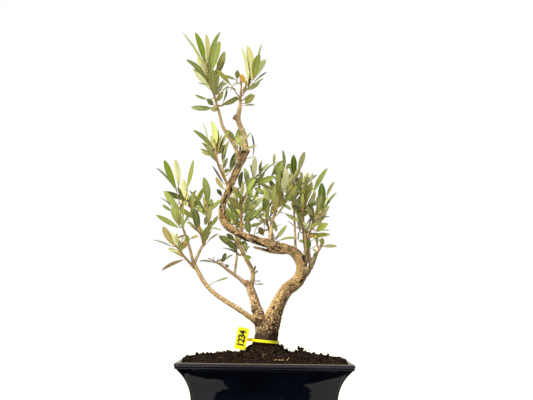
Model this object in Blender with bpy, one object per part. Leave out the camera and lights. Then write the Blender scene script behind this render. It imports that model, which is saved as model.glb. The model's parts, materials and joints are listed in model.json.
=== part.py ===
"""An olive bonsai in a glazed rectangular pot, with a loop label round the foot of its trunk.

The origin is the centre of the pot's flat underside, +Z is up and -Y is the front. Every limb is one
tapering piece, and every mass of foliage is one piece: a stem, its shoots and their leaves, grown by a
seeded rule inside its own space. Pieces that meet keep a gap of 0.3 mm.
"""

import math
import random
from collections import namedtuple

import bmesh
import bpy
from mathutils import Matrix, Vector, noise
from mathutils.bvhtree import BVHTree

MM = 0.001
GAP = 0.3 * MM

# Pot, in metres: a rim band over four walls that curve in to a plinth.
POT_LENGTH = 0.205
POT_DEPTH = 0.154
POT_HEIGHT = 0.082
RIM_BAND = 0.0050
RIM_WIDTH = 0.0075
RIM_ROUND = 0.0016
RIM_OVERHANG = 0.0010
WALL = 0.0065
FLOOR = 0.009
WALL_ARC_RADIUS = 0.050
WALL_ARC_ANGLE = math.radians(52)
ARC_FOOT = POT_HEIGHT - RIM_BAND - WALL_ARC_RADIUS * math.sin(WALL_ARC_ANGLE)
PLINTH_HEIGHT = 0.011
PLINTH_PROUD = 0.0015
CORNER_RADIUS = 0.006
CORNER_STEPS = 3
SIDE_STEPS = 5
ARC_STEPS = 7
FOOT_GAP_HEIGHT = 0.005
FOOT_GAP_SHARE = 0.45
DRAIN_RADIUS = 0.007
DRAIN_SPREAD = 0.045
DRAIN_SIDES = 16

# Soil: a low dome level with the rim at the wall, and a steep heap round the foot of the trunk.
SOIL_EDGE = 0.0815
DOME_HEIGHT = 0.0115
HEAP_HEIGHT = 0.009
HEAP_RADIUS = 0.0225
HEAP_SLOPE = 0.0022
LUMP_HEIGHT = 0.0022
LUMP_SIZE = 0.014
LUMP_FREE_RADIUS = 0.024
SOIL_RINGS = 11

# Trunk: across, towards the back, height and radius of its centre line in mm, from the cut foot up.
TRUNK_LINE = (
    (0, 0, 100, 14.5),
    (2.4, 0, 112, 13.2),
    (8.6, 1, 131, 10.7),
    (16, 2, 150, 8.4),
    (24.5, 4, 165, 8.0),
    (40, 6, 179, 7.5),
    (43.5, 5, 194, 7.0),
    (36, 2, 210, 6.3),
    (18, -4, 217, 5.9),
    (-8, -9, 224, 5.4),
    (-34, -12, 233, 5.0),
    (-50, -13, 246, 4.5),
    (-52.5, -11, 264, 4.3),
    (-44.5, -8, 288, 4.5),
    (-34, -3, 315, 4.8),
    (-25, 0, 336, 4.9),
)
TRUNK_STEPS = 3
# Each stretch of the trunk ends at a bend: its name and the centre-line points it runs between.
TRUNK_PIECES = (("trunk", 0, 6), ("trunk_crossing", 6, 11), ("trunk_upper", 11, 15))
CAP_RUN = 0.8
TRUNK_SIDES = 3

# Boughs, in mm as the trunk: each starts inside the limbs named last, which cut it 0.3 mm clear.
Bough = namedtuple("Bough", "name line cut_by")
BOUGHS = (
    Bough(
        "second_trunk",
        ((-1, 1, 116, 8), (-9, 5, 139, 6.6), (-15, 10, 158, 5.4), (-20, 13, 173, 5.0)),
        ("trunk",),
    ),
    Bough(
        "leader",
        ((-26, 0, 331, 3.4), (-28, 2, 353, 3.0), (-35.5, 3, 372, 3.0), (-33.5, 0, 390, 2.5)),
        ("trunk_upper",),
    ),
    Bough(
        "top_left_bough",
        ((-33, -3, 321, 2.3), (-39, -9, 338, 2.1), (-53, -12, 360, 1.8), (-59, -12, 381, 1.5)),
        ("trunk_upper",),
    ),
    Bough(
        "left_bough",
        ((-2, -2, 123, 4.4), (-31, -12, 142, 3.0), (-66, -18, 166, 2.4), (-86, -22, 197, 2.3)),
        ("trunk", "second_trunk"),
    ),
    Bough(
        "left_fork_outer",
        ((-85, -22, 193, 1.8), (-89, -24, 210, 1.6), (-97, -27, 234, 1.3)),
        ("left_bough",),
    ),
    Bough(
        "left_fork_inner",
        ((-85, -22, 193, 1.8), (-81, -18, 205, 1.6), (-75, -12, 219, 1.5)),
        ("left_bough", "left_fork_outer"),
    ),
    Bough(
        "second_left",
        ((-19, 13, 169, 3.2), (-31, 12, 179, 2.1), (-45, 8, 189, 1.7), (-57, 5, 198, 1.3)),
        ("second_trunk",),
    ),
    Bough(
        "second_up",
        ((-18, 13, 168, 3.2), (-16, 17, 188, 2.5), (-29, 24, 213, 2.1), (-38, 29, 235, 1.6)),
        ("second_trunk", "second_left"),
    ),
    Bough(
        "second_twig",
        ((-38, 10, 183, 1.5), (-36, 14, 198, 1.4), (-35, 19, 211, 1.2)),
        ("second_left",),
    ),
    Bough(
        "under_twig",
        ((30, -1, 208, 2.8), (9, -3, 211.5, 2.3), (-15, -6, 217, 1.3)),
        ("trunk", "trunk_crossing"),
    ),
    Bough(
        "bend_twig",
        ((43, 4, 196, 3.0), (48.5, 8, 216, 2.1), (47, 14, 237, 1.7), (45, 20, 252, 1.4)),
        ("trunk", "trunk_crossing"),
    ),
    Bough(
        "right_bough",
        ((42, 7, 176, 5.4), (53, 11, 191, 4.1), (62, 14, 213, 2.5)),
        ("trunk", "trunk_crossing", "bend_twig"),
    ),
    Bough(
        "right_shoot",
        ((55, 11, 193, 2.4), (51, 14, 222, 1.9), (55, 10, 245, 1.5)),
        ("right_bough", "bend_twig"),
    ),
    Bough(
        "straight_twig",
        ((36, 1, 209, 1.5), (35, 9, 238, 1.2), (34, 20, 262, 1.1)),
        ("trunk_crossing", "trunk"),
    ),
    Bough(
        "middle_twig",
        ((3, -5, 218, 2.7), (6, 1, 238, 2.1), (7, 8, 252, 1.8)),
        ("trunk_crossing",),
    ),
    Bough(
        "back_bough",
        ((12, -2, 217, 2.6), (9, 20, 225, 2.0), (4, 44, 240, 1.6)),
        ("trunk_crossing", "middle_twig"),
    ),
    Bough(
        "back_right_bough",
        ((43, 7, 187, 3.2), (50, 28, 204, 2.3), (48, 48, 226, 1.6)),
        ("trunk", "trunk_crossing", "right_bough"),
    ),
)
BOUGH_STEPS = 3
BOUGH_SIDES = 2

# Foliage, in mm: a stem with its radii, the usual leaf length, and shoots as (share of the way up the
# stem, tip, leaf length). A mass stays inside the rounded box given by its centre and reach.
Mass = namedtuple("Mass", "name stem leaf shoots centre reach cut_by")
MASSES = (
    Mass(
        "foliage_top_left", ((-58.5, -12, 379, 1.4), (-67, -12, 407, 1.2), (-74, -12, 440, 0.8)), 40,
        (
            (0.10, (-82, -22, 386), 26), (0.15, (-50, 6, 396), 24), (0.35, (-59, 4, 428), 34),
            (0.55, (-86, -2, 430), 34), (0.75, (-66, -22, 446), 34), (0.80, (-84, -20, 450), 33),
        ),
        (-72, -10, 430), (31, 36, 50), ("top_left_bough",),
    ),
    Mass(
        "foliage_top_right", ((-33.5, 0, 388, 1.8), (-33, -1, 404, 1.3), (-32, -2, 420, 0.8)), 30,
        (
            (0.35, (-46, -6, 414), 25), (0.40, (-17, 6, 420), 42),
            (0.45, (-22, -14, 422), 42), (0.30, (-18, 12, 400), 20),
        ),
        (-28, 0, 427), (31, 32, 38), ("leader",),
    ),
    Mass(
        "foliage_cut_end", ((-33, -3, 328, 1.6), (-32, -11, 341, 0.8)), 25,
        (),
        (-28, -15, 347), (19, 18, 24), ("trunk_upper", "top_left_bough"),
    ),
    Mass(
        "foliage_mid_left", ((-45, -8, 288, 1.8), (-58, -17, 314, 1.3), (-63, -18, 344, 0.8)), 31,
        ((0.30, (-47, 2, 320), 27), (0.60, (-77, -24, 338), 34), (0.45, (-66, 4, 334), 27)),
        (-63, -14, 329), (31, 32, 44), ("trunk_upper",),
    ),
    Mass(
        "foliage_left_high", ((-74, -11, 217, 1.3), (-83, -4, 246, 1.1), (-102, 5, 288, 0.8)), 38,
        ((0.70, (-92, 16, 292), 34), (0.30, (-88, 18, 252), 27), (0.70, (-114, -8, 284), 38)),
        (-106, 4, 284), (31, 36, 42), ("left_fork_inner",),
    ),
    Mass(
        "foliage_left_inner", ((-74, -11, 217, 1.2), (-69, -13, 242, 1.0), (-71, -16, 268, 0.7)), 32,
        ((0.35, (-60, -4, 250), 24), (0.40, (-72, -31, 256), 25)),
        (-70, -16, 266), (22, 32, 38), ("left_fork_inner", "foliage_left_high"),
    ),
    Mass(
        "foliage_left_outer", ((-96.5, -27, 232, 1.2), (-101, -30, 246, 1.0), (-108, -33, 262, 0.8)), 30,
        ((0.30, (-116, -41, 244), 29), (0.30, (-100, -46, 250), 26)),
        (-112, -35, 260), (22, 32, 29), ("left_fork_outer",),
    ),
    Mass(
        "foliage_left_low", ((-84, -22, 190, 1.6), (-98, -30, 206, 1.2), (-110, -36, 222, 0.8)), 26,
        ((0.30, (-110, -30, 196), 27), (0.50, (-117, -20, 214), 27), (0.55, (-108, -52, 218), 24)),
        (-115, -36, 216), (22, 34, 29), ("left_bough", "left_fork_outer", "left_fork_inner"),
    ),
    Mass(
        "foliage_low_left", ((-55, 5, 196, 1.2), (-69, 3, 203, 0.7)), 18,
        ((0.35, (-52, 12, 206), 16),),
        (-61, 6, 205), (24, 24, 16), ("second_left",),
    ),
    Mass(
        "foliage_centre_low", ((-35, 18, 209, 1.2), (-38, 25, 226, 0.8)), 24,
        ((0.60, (-54, 16, 222), 26), (0.60, (-24, 38, 222), 25), (0.70, (-48, 2, 220), 21)),
        (-37, 22, 220), (32, 34, 24), ("second_twig",),
    ),
    Mass(
        "foliage_centre_back", ((-37, 28, 232, 1.5), (-36, 42, 262, 1.2), (-30, 50, 292, 0.8)), 30,
        (
            (0.40, (-50, 38, 262), 30), (0.50, (-14, 52, 282), 30),
            (0.60, (-42, 62, 288), 29), (0.30, (-40, 68, 256), 29),
        ),
        (-34, 48, 278), (32, 38, 48), ("second_up",),
    ),
    Mass(
        "foliage_centre_front",
        ((-27, -10, 228, 2.0), (-30, -3, 242, 1.5), (-29, 4, 272, 1.2), (-12, 12, 306, 0.8)), 34,
        (
            (0.55, (-22, -8, 292), 28), (0.70, (-22, 20, 306), 31),
            (0.80, (0, 24, 300), 31), (0.15, (-10, -6, 250), 34),
        ),
        (-12, 6, 284), (34, 32, 48), ("trunk_crossing",),
    ),
    Mass(
        "foliage_centre", ((6.8, 7, 250, 1.7), (12, 11, 262, 1.4), (17, 15, 286, 1.0)), 34,
        (
            (0.25, (-8, 10, 266), 26), (0.50, (1, 24, 306), 34),
            (0.70, (26, 28, 306), 34), (0.50, (12, 0, 294), 33),
        ),
        (14, 16, 298), (30, 32, 41), ("middle_twig",),
    ),
    Mass(
        "foliage_back_centre", ((34, 19.5, 260, 1.1), (34, 32, 300, 0.9)), 34,
        ((0.30, (20, 42, 304), 33), (0.40, (46, 36, 306), 34), (0.50, (34, 54, 304), 31)),
        (33, 38, 303), (29, 34, 41), ("straight_twig",),
    ),
    Mass(
        "foliage_right_upper", ((45.3, 19, 250, 1.4), (46, 24, 276, 1.0)), 33,
        ((0.25, (58, 30, 286), 32), (0.35, (54, 6, 284), 32), (0.35, (36, 8, 276), 27)),
        (49, 20, 290), (27, 34, 36), ("bend_twig",),
    ),
    Mass(
        "foliage_right_outer", ((54.5, 10.3, 243, 1.4), (62, 8, 268, 1.0)), 33,
        ((0.30, (72, 0, 272), 34), (0.25, (72, 20, 258), 27), (0.40, (62, -10, 280), 33)),
        (66, 6, 276), (23, 35, 39), ("right_shoot",),
    ),
    Mass(
        "foliage_right_low", ((61.5, 13.8, 211, 1.8), (70, 12, 224, 1.0)), 20,
        ((0.35, (62, 26, 232), 21), (0.35, (78, 18, 220), 17), (0.50, (70, -2, 230), 20)),
        (67, 13, 229), (24, 30, 20), ("right_bough",),
    ),
    Mass(
        "foliage_back_right", ((48, 47, 224, 1.5), (46, 58, 244, 1.2), (42, 66, 262, 0.8)), 31,
        ((0.30, (62, 54, 248), 30), (0.50, (28, 64, 254), 30), (0.40, (42, 84, 246), 29)),
        (48, 66, 260), (32, 38, 38), ("back_right_bough",),
    ),
    Mass(
        "foliage_back", ((4.3, 42, 238.5, 1.5), (0, 60, 260, 1.2), (2, 70, 284, 0.8)), 31,
        (
            (0.30, (-14, 58, 258), 29), (0.40, (18, 66, 266), 30),
            (0.60, (-10, 82, 276), 30), (0.60, (8, 92, 264), 29),
        ),
        (1, 68, 276), (32, 40, 46), ("back_bough",),
    ),
)
STEM_STEPS = 2
SHOOT_STEPS = 3
SHOOT_RADIUS = 0.9
SHOOT_TIP_RADIUS = 0.6
SHOOT_SAG = 0.10
BARE_SHARE = 0.22
INTERNODE = 12.0
INTERNODE_RANGE = (0.8, 1.15)
LEAF_WIDTH_SHARE = 0.32
LEAF_THICKNESS_SHARE = 0.05
LEAF_END_SIZE = 0.78
LEAF_SWELL = 0.3
LEAF_SIZE_RANGE = (0.84, 1.1)
LEAF_SPREAD_LOW = math.radians(55)
LEAF_SPREAD_TIP = math.radians(18)
LEAF_LIFT = 0.28
LEAF_LOSS = 0.07
TURN_JITTER = 0.28
SPREAD_JITTER = 0.14
ROLL_JITTER = 0.7
STEM_BARE_SHARE = 0.12
Shoot = namedtuple("Shoot", "line leaf bare")
Leaf = namedtuple("Leaf", "root toward along length roll")
Wood = namedtuple("Wood", "mass stem bits shoots surfaces")
SPACE_POWER = 4
SEED = 7

# Loop label: a strap round the foot of the trunk and the plate that it carries.
BAND_CENTRE = Vector((-0.0006, 0, 0.1052))
BAND_RADIUS = 0.0174
BAND_HEIGHT = 0.0032
BAND_THICKNESS = 0.0008
BAND_TILT = math.radians(5.3)
BAND_SIDES = 22
TAG_WIDTH = 0.0135
TAG_HEIGHT = 0.0260
TAG_THICKNESS = 0.0008
TAG_CENTRE = Vector((-0.0272, -0.0150, 0.1083))
TAG_LEAN = math.radians(10.5)
TAG_CORNER = 0.0012

MATERIALS = {  # name: base colour, roughness
    "glaze": ((0.006, 0.009, 0.020), 0.12),
    "soil": ((0.030, 0.018, 0.011), 0.95),
    "bark": ((0.330, 0.215, 0.125), 0.85),
    "leaf": ((0.230, 0.290, 0.075), 0.50),
    "label": ((0.900, 0.900, 0.030), 0.40),
}


# ---- helpers -------------------------------------------------------------------------------------


def clear_scene():
    for item in list(bpy.data.objects):
        bpy.data.objects.remove(item)


def new_collection(name):
    collection = bpy.data.collections.new(name)
    bpy.context.scene.collection.children.link(collection)
    return collection


def make_materials():
    made = {}
    for name, (color, roughness) in MATERIALS.items():
        material = bpy.data.materials.new(name)
        material.use_nodes = True
        shader = material.node_tree.nodes["Principled BSDF"]
        shader.inputs["Base Color"].default_value = (*color, 1)
        shader.inputs["Roughness"].default_value = roughness
        shader.inputs["Metallic"].default_value = 0
        made[name] = material
    return made


def add_object(name, data, collection, material=None):
    item = bpy.data.objects.new(name, data)
    collection.objects.link(item)
    if material:
        data.materials.clear()
        data.materials.append(material)
    return item


def mesh_from(bm, name):
    mesh = bpy.data.meshes.new(name)
    bmesh.ops.recalc_face_normals(bm, faces=bm.faces)
    bm.to_mesh(mesh)
    bm.free()
    return mesh


def baked(item):
    """The object's mesh with its modifiers applied and its caps welded, in world space."""
    depsgraph = bpy.context.evaluated_depsgraph_get()
    mesh = bpy.data.meshes.new_from_object(item.evaluated_get(depsgraph))
    mesh.transform(item.matrix_world)
    bm = bmesh.new()
    bm.from_mesh(mesh)
    bmesh.ops.remove_doubles(bm, verts=bm.verts, dist=1e-7)
    bm.to_mesh(mesh)
    bm.free()
    return mesh


def made_mesh(item, collection, material):
    """Replaces an object by its finished mesh, under the same name."""
    name = item.name
    mesh = baked(item)
    bpy.data.objects.remove(item)
    mesh.name = name
    return add_object(name, mesh, collection, material)


def drop_scraps(mesh):
    """Keeps the largest body of a mesh: a cut can leave a scrap of a limb on its parent's far side."""
    bm = bmesh.new()
    bm.from_mesh(mesh)
    bodies = []
    left = set(bm.verts)
    while left:
        body = {left.pop()}
        edge_of_body = list(body)
        while edge_of_body:
            vertex = edge_of_body.pop()
            fresh = {edge.other_vert(vertex) for edge in vertex.link_edges} & left
            body |= fresh
            left -= fresh
            edge_of_body += fresh
        bodies.append(body)
    largest = max(bodies, key=len)
    scraps = [vertex for vertex in bm.verts if vertex not in largest]
    bmesh.ops.delete(bm, geom=scraps, context="VERTS")
    bm.to_mesh(mesh)
    bm.free()


def cut(item, cutters):
    for cutter in cutters:
        boolean = item.modifiers.new("cut", "BOOLEAN")
        boolean.operation = "DIFFERENCE"
        boolean.object = cutter


def tree_of(mesh):
    corners = [vertex.co.copy() for vertex in mesh.vertices]
    return BVHTree.FromPolygons(corners, [tuple(face.vertices) for face in mesh.polygons])


# ---- lines and limbs -----------------------------------------------------------------------------


def smooth_line(knots, steps):
    """Points with radii on a smooth curve through the knots, steps of them to each stretch."""
    knots = [Vector(knot) for knot in knots]
    ends = [2 * knots[0] - knots[1], *knots, 2 * knots[-1] - knots[-2]]
    line = []
    for before, start, end, after in zip(ends, ends[1:], ends[2:], ends[3:]):
        for step in range(steps):
            t = step / steps
            square = (2 * before - 5 * start + 4 * end - after) * t**2
            cube = (3 * start - before - 3 * end + after) * t**3
            line.append(0.5 * (2 * start + (end - before) * t + square + cube))
    line.append(knots[-1])
    return line


def stretch(line, first, last, gap):
    """Part of a line between two of its points, square to the line and half a gap short at each cut."""
    part = line[first : last + 1]
    for at, inner, sign in ((first, 0, 1), (last, -1, -1)):
        if 0 < at < len(line) - 1:
            along = (line[at + 1] - line[at - 1]).to_3d().normalized() * sign
            face = line[at].to_3d() + along * gap / 2
            run = face + along * CAP_RUN
            radius = line[at][3]
            part[inner] = Vector((*face, radius))
            part.insert(1 if sign > 0 else len(part) - 1, Vector((*run, radius)))
    return part


def limb_object(name, line, sides, collection, grow=0.0):
    """A tapering limb as a curve with a bevel; grow makes it fatter and longer at both ends, in mm."""
    line = [Vector(point) for point in line]
    if grow:
        first = (line[0] - line[1]).to_3d().normalized() * grow
        last = (line[-1] - line[-2]).to_3d().normalized() * grow
        line[0] = line[0] + first.to_4d() - Vector((0, 0, 0, 1))
        line[-1] = line[-1] + last.to_4d() - Vector((0, 0, 0, 1))
    curve = bpy.data.curves.new(name, "CURVE")
    curve.dimensions = "3D"
    curve.bevel_depth = MM
    curve.bevel_resolution = sides - 1
    curve.use_fill_caps = True
    spline = curve.splines.new("POLY")
    spline.points.add(len(line) - 1)
    for point, at in zip(spline.points, line):
        point.co = (*(at.to_3d() * MM), 1)
        point.radius = at[3] + grow
    return add_object(name, curve, collection)


class Limbs:
    """The limbs made so far, the fatter copy of each that cuts its neighbours, and their surfaces."""

    def __init__(self, parts, cutters, materials):
        self.parts = parts
        self.cutters = cutters
        self.materials = materials
        self.cutter = {}
        self.surfaces = []

    def add_cutter(self, name, line, sides):
        grown = limb_object(name + "_clearance", line, sides, self.cutters, GAP / MM)
        self.cutter[name] = made_mesh(grown, self.cutters, None)

    def shaped(self, name, line, sides, cut_by, material):
        """A limb cut clear of its neighbours, as a mesh object."""
        limb = made_mesh(limb_object(name, line, sides, self.parts), self.parts, None)
        cut(limb, [self.cutter[other] for other in cut_by])
        self.add_cutter(name, line, sides)
        limb = made_mesh(limb, self.parts, self.materials[material])
        drop_scraps(limb.data)
        return limb

    def add(self, name, line, sides, cut_by=()):
        limb = self.shaped(name, line, sides, cut_by, "bark")
        self.surfaces.append(tree_of(limb.data))
        return limb


def make_trunk(limbs):
    line = smooth_line(TRUNK_LINE, TRUNK_STEPS)
    line.insert(1, line[0] + Vector((0, 0, CAP_RUN, 0)))
    for name, first, last in TRUNK_PIECES:
        start = first * TRUNK_STEPS + (1 if first else 0)
        part = stretch(line, start, last * TRUNK_STEPS + 1, GAP / MM)
        limbs.add(name, part, TRUNK_SIDES)


def make_boughs(limbs):
    for bough in BOUGHS:
        limbs.add(bough.name, smooth_line(bough.line, BOUGH_STEPS), BOUGH_SIDES, bough.cut_by)


# ---- foliage -------------------------------------------------------------------------------------


def at_share(line, share):
    """The point and direction at a share of the way along a line."""
    place = share * (len(line) - 1)
    index = min(int(place), len(line) - 2)
    start = line[index].to_3d()
    end = line[index + 1].to_3d()
    return start.lerp(end, place - index), (end - start).normalized()


def length_of(line):
    return sum((b.to_3d() - a.to_3d()).length for a, b in zip(line, line[1:]))


def shoot_line(start, tip):
    """A shoot that leaves low and turns up towards its tip."""
    reach = (tip - start).length
    middle = start.lerp(tip, 0.5) - Vector((0, 0, SHOOT_SAG * reach))
    knots = ((*start, SHOOT_RADIUS), (*middle, SHOOT_RADIUS), (*tip, SHOOT_TIP_RADIUS))
    return smooth_line(knots, SHOOT_STEPS - 1)


def leaf_plans(shoot, rng):
    """Where each leaf of a shoot goes: opposite pairs, each pair turned from the one below."""
    plans = []
    length = length_of(shoot.line)
    turn = rng.uniform(0, math.pi)
    place = shoot.bare * length
    while place < length + INTERNODE / 2:
        share = min(place / length, 1.0)
        root, along = at_share(shoot.line, share)
        side = along.orthogonal().normalized()
        for half in (0, math.pi):
            azimuth = turn + half + rng.uniform(-TURN_JITTER, TURN_JITTER)
            spread = LEAF_SPREAD_LOW + (LEAF_SPREAD_TIP - LEAF_SPREAD_LOW) * share
            spread += rng.uniform(-SPREAD_JITTER, SPREAD_JITTER)
            size = shoot.leaf * (LEAF_END_SIZE + LEAF_SWELL * math.sin(math.pi * (0.15 + 0.7 * share)))
            size *= rng.uniform(*LEAF_SIZE_RANGE)
            roll = rng.uniform(-ROLL_JITTER, ROLL_JITTER)
            lost = rng.random() < LEAF_LOSS
            outward = Matrix.Rotation(azimuth, 3, along) @ side
            toward = along * math.cos(spread) + outward * math.sin(spread)
            toward = (toward + Vector((0, 0, LEAF_LIFT))).normalized()
            if not lost:
                plans.append(Leaf(root, toward, along, size, roll))
        turn += math.pi / 2 + rng.uniform(-TURN_JITTER, TURN_JITTER)
        place += INTERNODE * rng.uniform(*INTERNODE_RANGE)
    return plans


def leaf_matrix(leaf, grow=0.0):
    """Places the unit leaf: its length along Z, its width along X and its thickness along Y."""
    face = (leaf.along - leaf.toward * leaf.along.dot(leaf.toward)).normalized()
    face = Matrix.Rotation(leaf.roll, 3, leaf.toward) @ face
    axes = Matrix((face.cross(leaf.toward), face, leaf.toward)).transposed().to_4x4()
    half = Vector((LEAF_WIDTH_SHARE, LEAF_THICKNESS_SHARE, 1)) * leaf.length / 2
    centre = leaf.root + leaf.toward * (half.z - SHOOT_RADIUS / 2)
    scale = Matrix.Diagonal((*(half + Vector((grow, grow, grow))), 1))
    return Matrix.Scale(MM, 4) @ Matrix.Translation(centre) @ axes @ scale


def within(mass, point):
    offset = [(point[i] - mass.centre[i]) / mass.reach[i] for i in range(3)]
    return sum(abs(share) ** SPACE_POWER for share in offset) <= 1


def unit_leaf():
    bm = bmesh.new()
    bmesh.ops.create_uvsphere(bm, u_segments=4, v_segments=2, radius=1)
    return mesh_from(bm, "unit_leaf")


def touches(mesh, matrix, surfaces):
    corners = [matrix @ vertex.co for vertex in mesh.vertices]
    tree = BVHTree.FromPolygons(corners, [tuple(face.vertices) for face in mesh.polygons])
    return any(tree.overlap(surface) for surface in surfaces)


def grow_wood(mass, limbs, others):
    """The stem of a mass, cut clear of its bough, and its shoots, less any that would touch a limb."""
    bits = new_collection(mass.name + "_bits")
    stem_line = smooth_line(mass.stem, STEM_STEPS)
    stem = limbs.shaped(mass.name, stem_line, 1, mass.cut_by, "leaf")
    shoots = [Shoot(stem_line, mass.leaf, STEM_BARE_SHARE)]
    surfaces = [tree_of(stem.data)]
    for share, tip, leaf in mass.shoots:
        line = shoot_line(at_share(stem_line, share)[0], Vector(tip))
        grown = made_mesh(limb_object("clearance", line, 1, limbs.cutters, GAP / MM), limbs.cutters, None)
        clearance = tree_of(grown.data)
        bpy.data.objects.remove(grown)
        if not any(clearance.overlap(surface) for surface in limbs.surfaces + others):
            twig = made_mesh(limb_object("shoot", line, 1, bits), bits, None)
            shoots.append(Shoot(line, leaf, BARE_SHARE))
            surfaces.append(tree_of(twig.data))
    return Wood(mass, stem, bits, shoots, surfaces)


def grow_leaves(wood, seed, limbs, others, leaf_mesh, material):
    """Fuses the leaves of a mass to its stem and shoots, less any that leave its space or touch."""
    rng = random.Random(seed)
    for shoot in wood.shoots:
        for plan in leaf_plans(shoot, rng):
            tip = plan.root + plan.toward * plan.length
            if within(wood.mass, tip) and not touches(leaf_mesh, leaf_matrix(plan, GAP / MM), others):
                leaf = add_object("leaf", leaf_mesh, wood.bits)
                leaf.matrix_world = leaf_matrix(plan)
    join = wood.stem.modifiers.new("join", "BOOLEAN")
    join.operation = "UNION"
    join.operand_type = "COLLECTION"
    join.collection = wood.bits
    whole = made_mesh(wood.stem, limbs.parts, material)
    for bit in list(wood.bits.objects):
        bpy.data.objects.remove(bit)
    bpy.data.collections.remove(wood.bits)
    return tree_of(whole.data)


def make_foliage(limbs, material):
    """All the wood first, so that the leaves of every mass keep clear of it."""
    grown = []
    for mass in MASSES:
        grown.append(grow_wood(mass, limbs, [surface for wood in grown for surface in wood.surfaces]))
    leaf_mesh = unit_leaf()
    finished = []
    for number, wood in enumerate(grown):
        others = [surface for other in grown if other is not wood for surface in other.surfaces]
        others += limbs.surfaces + finished
        finished.append(grow_leaves(wood, SEED + number, limbs, others, leaf_mesh, material))


# ---- pot, soil and label -------------------------------------------------------------------------


def rounded_rectangle(length, depth, radius, height, side_steps=1):
    """The points of a level rounded rectangle about the Z axis, side_steps of them to each side."""
    ring = []
    for quarter in range(4):
        sx = 1 if quarter in (0, 3) else -1
        sy = 1 if quarter in (0, 1) else -1
        for step in range(CORNER_STEPS + 1):
            angle = math.radians(90) * (quarter + step / CORNER_STEPS)
            x = sx * (length / 2 - radius) + radius * math.cos(angle)
            y = sy * (depth / 2 - radius) + radius * math.sin(angle)
            ring.append(Vector((x, y, height)))
        turned = math.radians(90) * (quarter + 1)
        run = (depth, length)[quarter % 2 == 0] - 2 * radius
        corner = ring[-1].copy()
        along = Vector((math.cos(turned + math.pi / 2), math.sin(turned + math.pi / 2), 0))
        ring += [corner + along * run * step / side_steps for step in range(1, side_steps)]
    return ring


def loft(name, rings, collection, material=None):
    """A closed solid through rings of equally many points, capped at both ends."""
    bm = bmesh.new()
    made = [[bm.verts.new(point) for point in ring] for ring in rings]
    for low, high in zip(made, made[1:]):
        for i in range(len(low)):
            j = (i + 1) % len(low)
            bm.faces.new((low[i], low[j], high[j], high[i]))
    bm.faces.new(reversed(made[0]))
    bm.faces.new(made[-1])
    return add_object(name, mesh_from(bm, name), collection, material)


def wall_inset(height):
    """How far the outer wall stands in from the rim's edge at a height."""
    angle = math.asin(max(0.0, min(1.0, (height - ARC_FOOT) / WALL_ARC_RADIUS)))
    deepest = RIM_OVERHANG + WALL_ARC_RADIUS * (1 - math.cos(WALL_ARC_ANGLE))
    return deepest - WALL_ARC_RADIUS * (1 - math.cos(angle))


def pot_ring(inset, height, side_steps=1):
    """A level ring set in from the rim's outer edge."""
    length = POT_LENGTH - 2 * inset
    depth = POT_DEPTH - 2 * inset
    return rounded_rectangle(length, depth, CORNER_RADIUS, height, side_steps)


def arc_heights(low, high):
    return [low + (high - low) * step / ARC_STEPS for step in range(ARC_STEPS + 1)]


def cavity_rings(inward, floor, top, side_steps=1):
    """Rings up the inside of the walls, from a floor to a level near the rim."""
    inward += WALL
    under_rim = POT_HEIGHT - RIM_BAND - WALL
    levels = [(wall_inset(height), height) for height in arc_heights(floor, under_rim)]
    levels += [(RIM_WIDTH - WALL, height) for height in (POT_HEIGHT - RIM_BAND / 2, top)]
    return [pot_ring(inset + inward, height, side_steps) for inset, height in levels]


def make_pot(parts, cutters, material):
    plinth = wall_inset(PLINTH_HEIGHT) - PLINTH_PROUD
    wall_top = POT_HEIGHT - RIM_BAND
    levels = [(plinth + RIM_ROUND / 2, 0), (plinth, RIM_ROUND / 2), (plinth, PLINTH_HEIGHT)]
    wall_heights = [PLINTH_HEIGHT + PLINTH_PROUD] + arc_heights(ARC_FOOT, wall_top)
    levels += [(wall_inset(height), height) for height in wall_heights]
    levels += [(RIM_ROUND / 3, wall_top), (0, wall_top + RIM_ROUND / 2)]
    levels += [(0, POT_HEIGHT - RIM_ROUND), (RIM_ROUND, POT_HEIGHT)]
    pot = loft("pot", [pot_ring(inset, height) for inset, height in levels], parts)
    inside = loft("pot_inside", cavity_rings(0, FLOOR, POT_HEIGHT + MM), cutters)
    cuts = [inside]
    for axis, size in ((0, POT_LENGTH), (1, POT_DEPTH)):
        gap = bmesh.new()
        bmesh.ops.create_cube(gap, size=1)
        spans = [size * FOOT_GAP_SHARE, 2 * POT_LENGTH, 2 * FOOT_GAP_HEIGHT]
        scale = Vector(spans if axis == 0 else (spans[1], spans[0], spans[2]))
        bmesh.ops.scale(gap, vec=scale, verts=gap.verts)
        through = add_object(f"foot_gap_{axis}", mesh_from(gap, "foot_gap"), cutters)
        cut(through, [solid_middle(cutters, axis)])
        cuts.append(through)
    for side in (-1, 1):
        hole = bmesh.new()
        place = Matrix.Translation((side * DRAIN_SPREAD, 0, FLOOR / 2))
        bmesh.ops.create_cone(
            hole,
            cap_ends=True,
            segments=DRAIN_SIDES,
            radius1=DRAIN_RADIUS,
            radius2=DRAIN_RADIUS,
            depth=2 * FLOOR,
            matrix=place,
        )
        cuts.append(add_object("drain_hole", mesh_from(hole, "drain_hole"), cutters))
    cut(pot, cuts)
    return made_mesh(pot, parts, material)


def solid_middle(cutters, axis):
    """The block under the pot that the gaps between its feet stop at."""
    inset = 2 * wall_inset(PLINTH_HEIGHT) + 4 * WALL
    spans = (POT_LENGTH - inset, POT_DEPTH - inset, 4 * FOOT_GAP_HEIGHT)
    block = bmesh.new()
    bmesh.ops.create_cube(block, size=1)
    bmesh.ops.scale(block, vec=spans, verts=block.verts)
    return add_object(f"pot_middle_{axis}", mesh_from(block, "pot_middle"), cutters)


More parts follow.
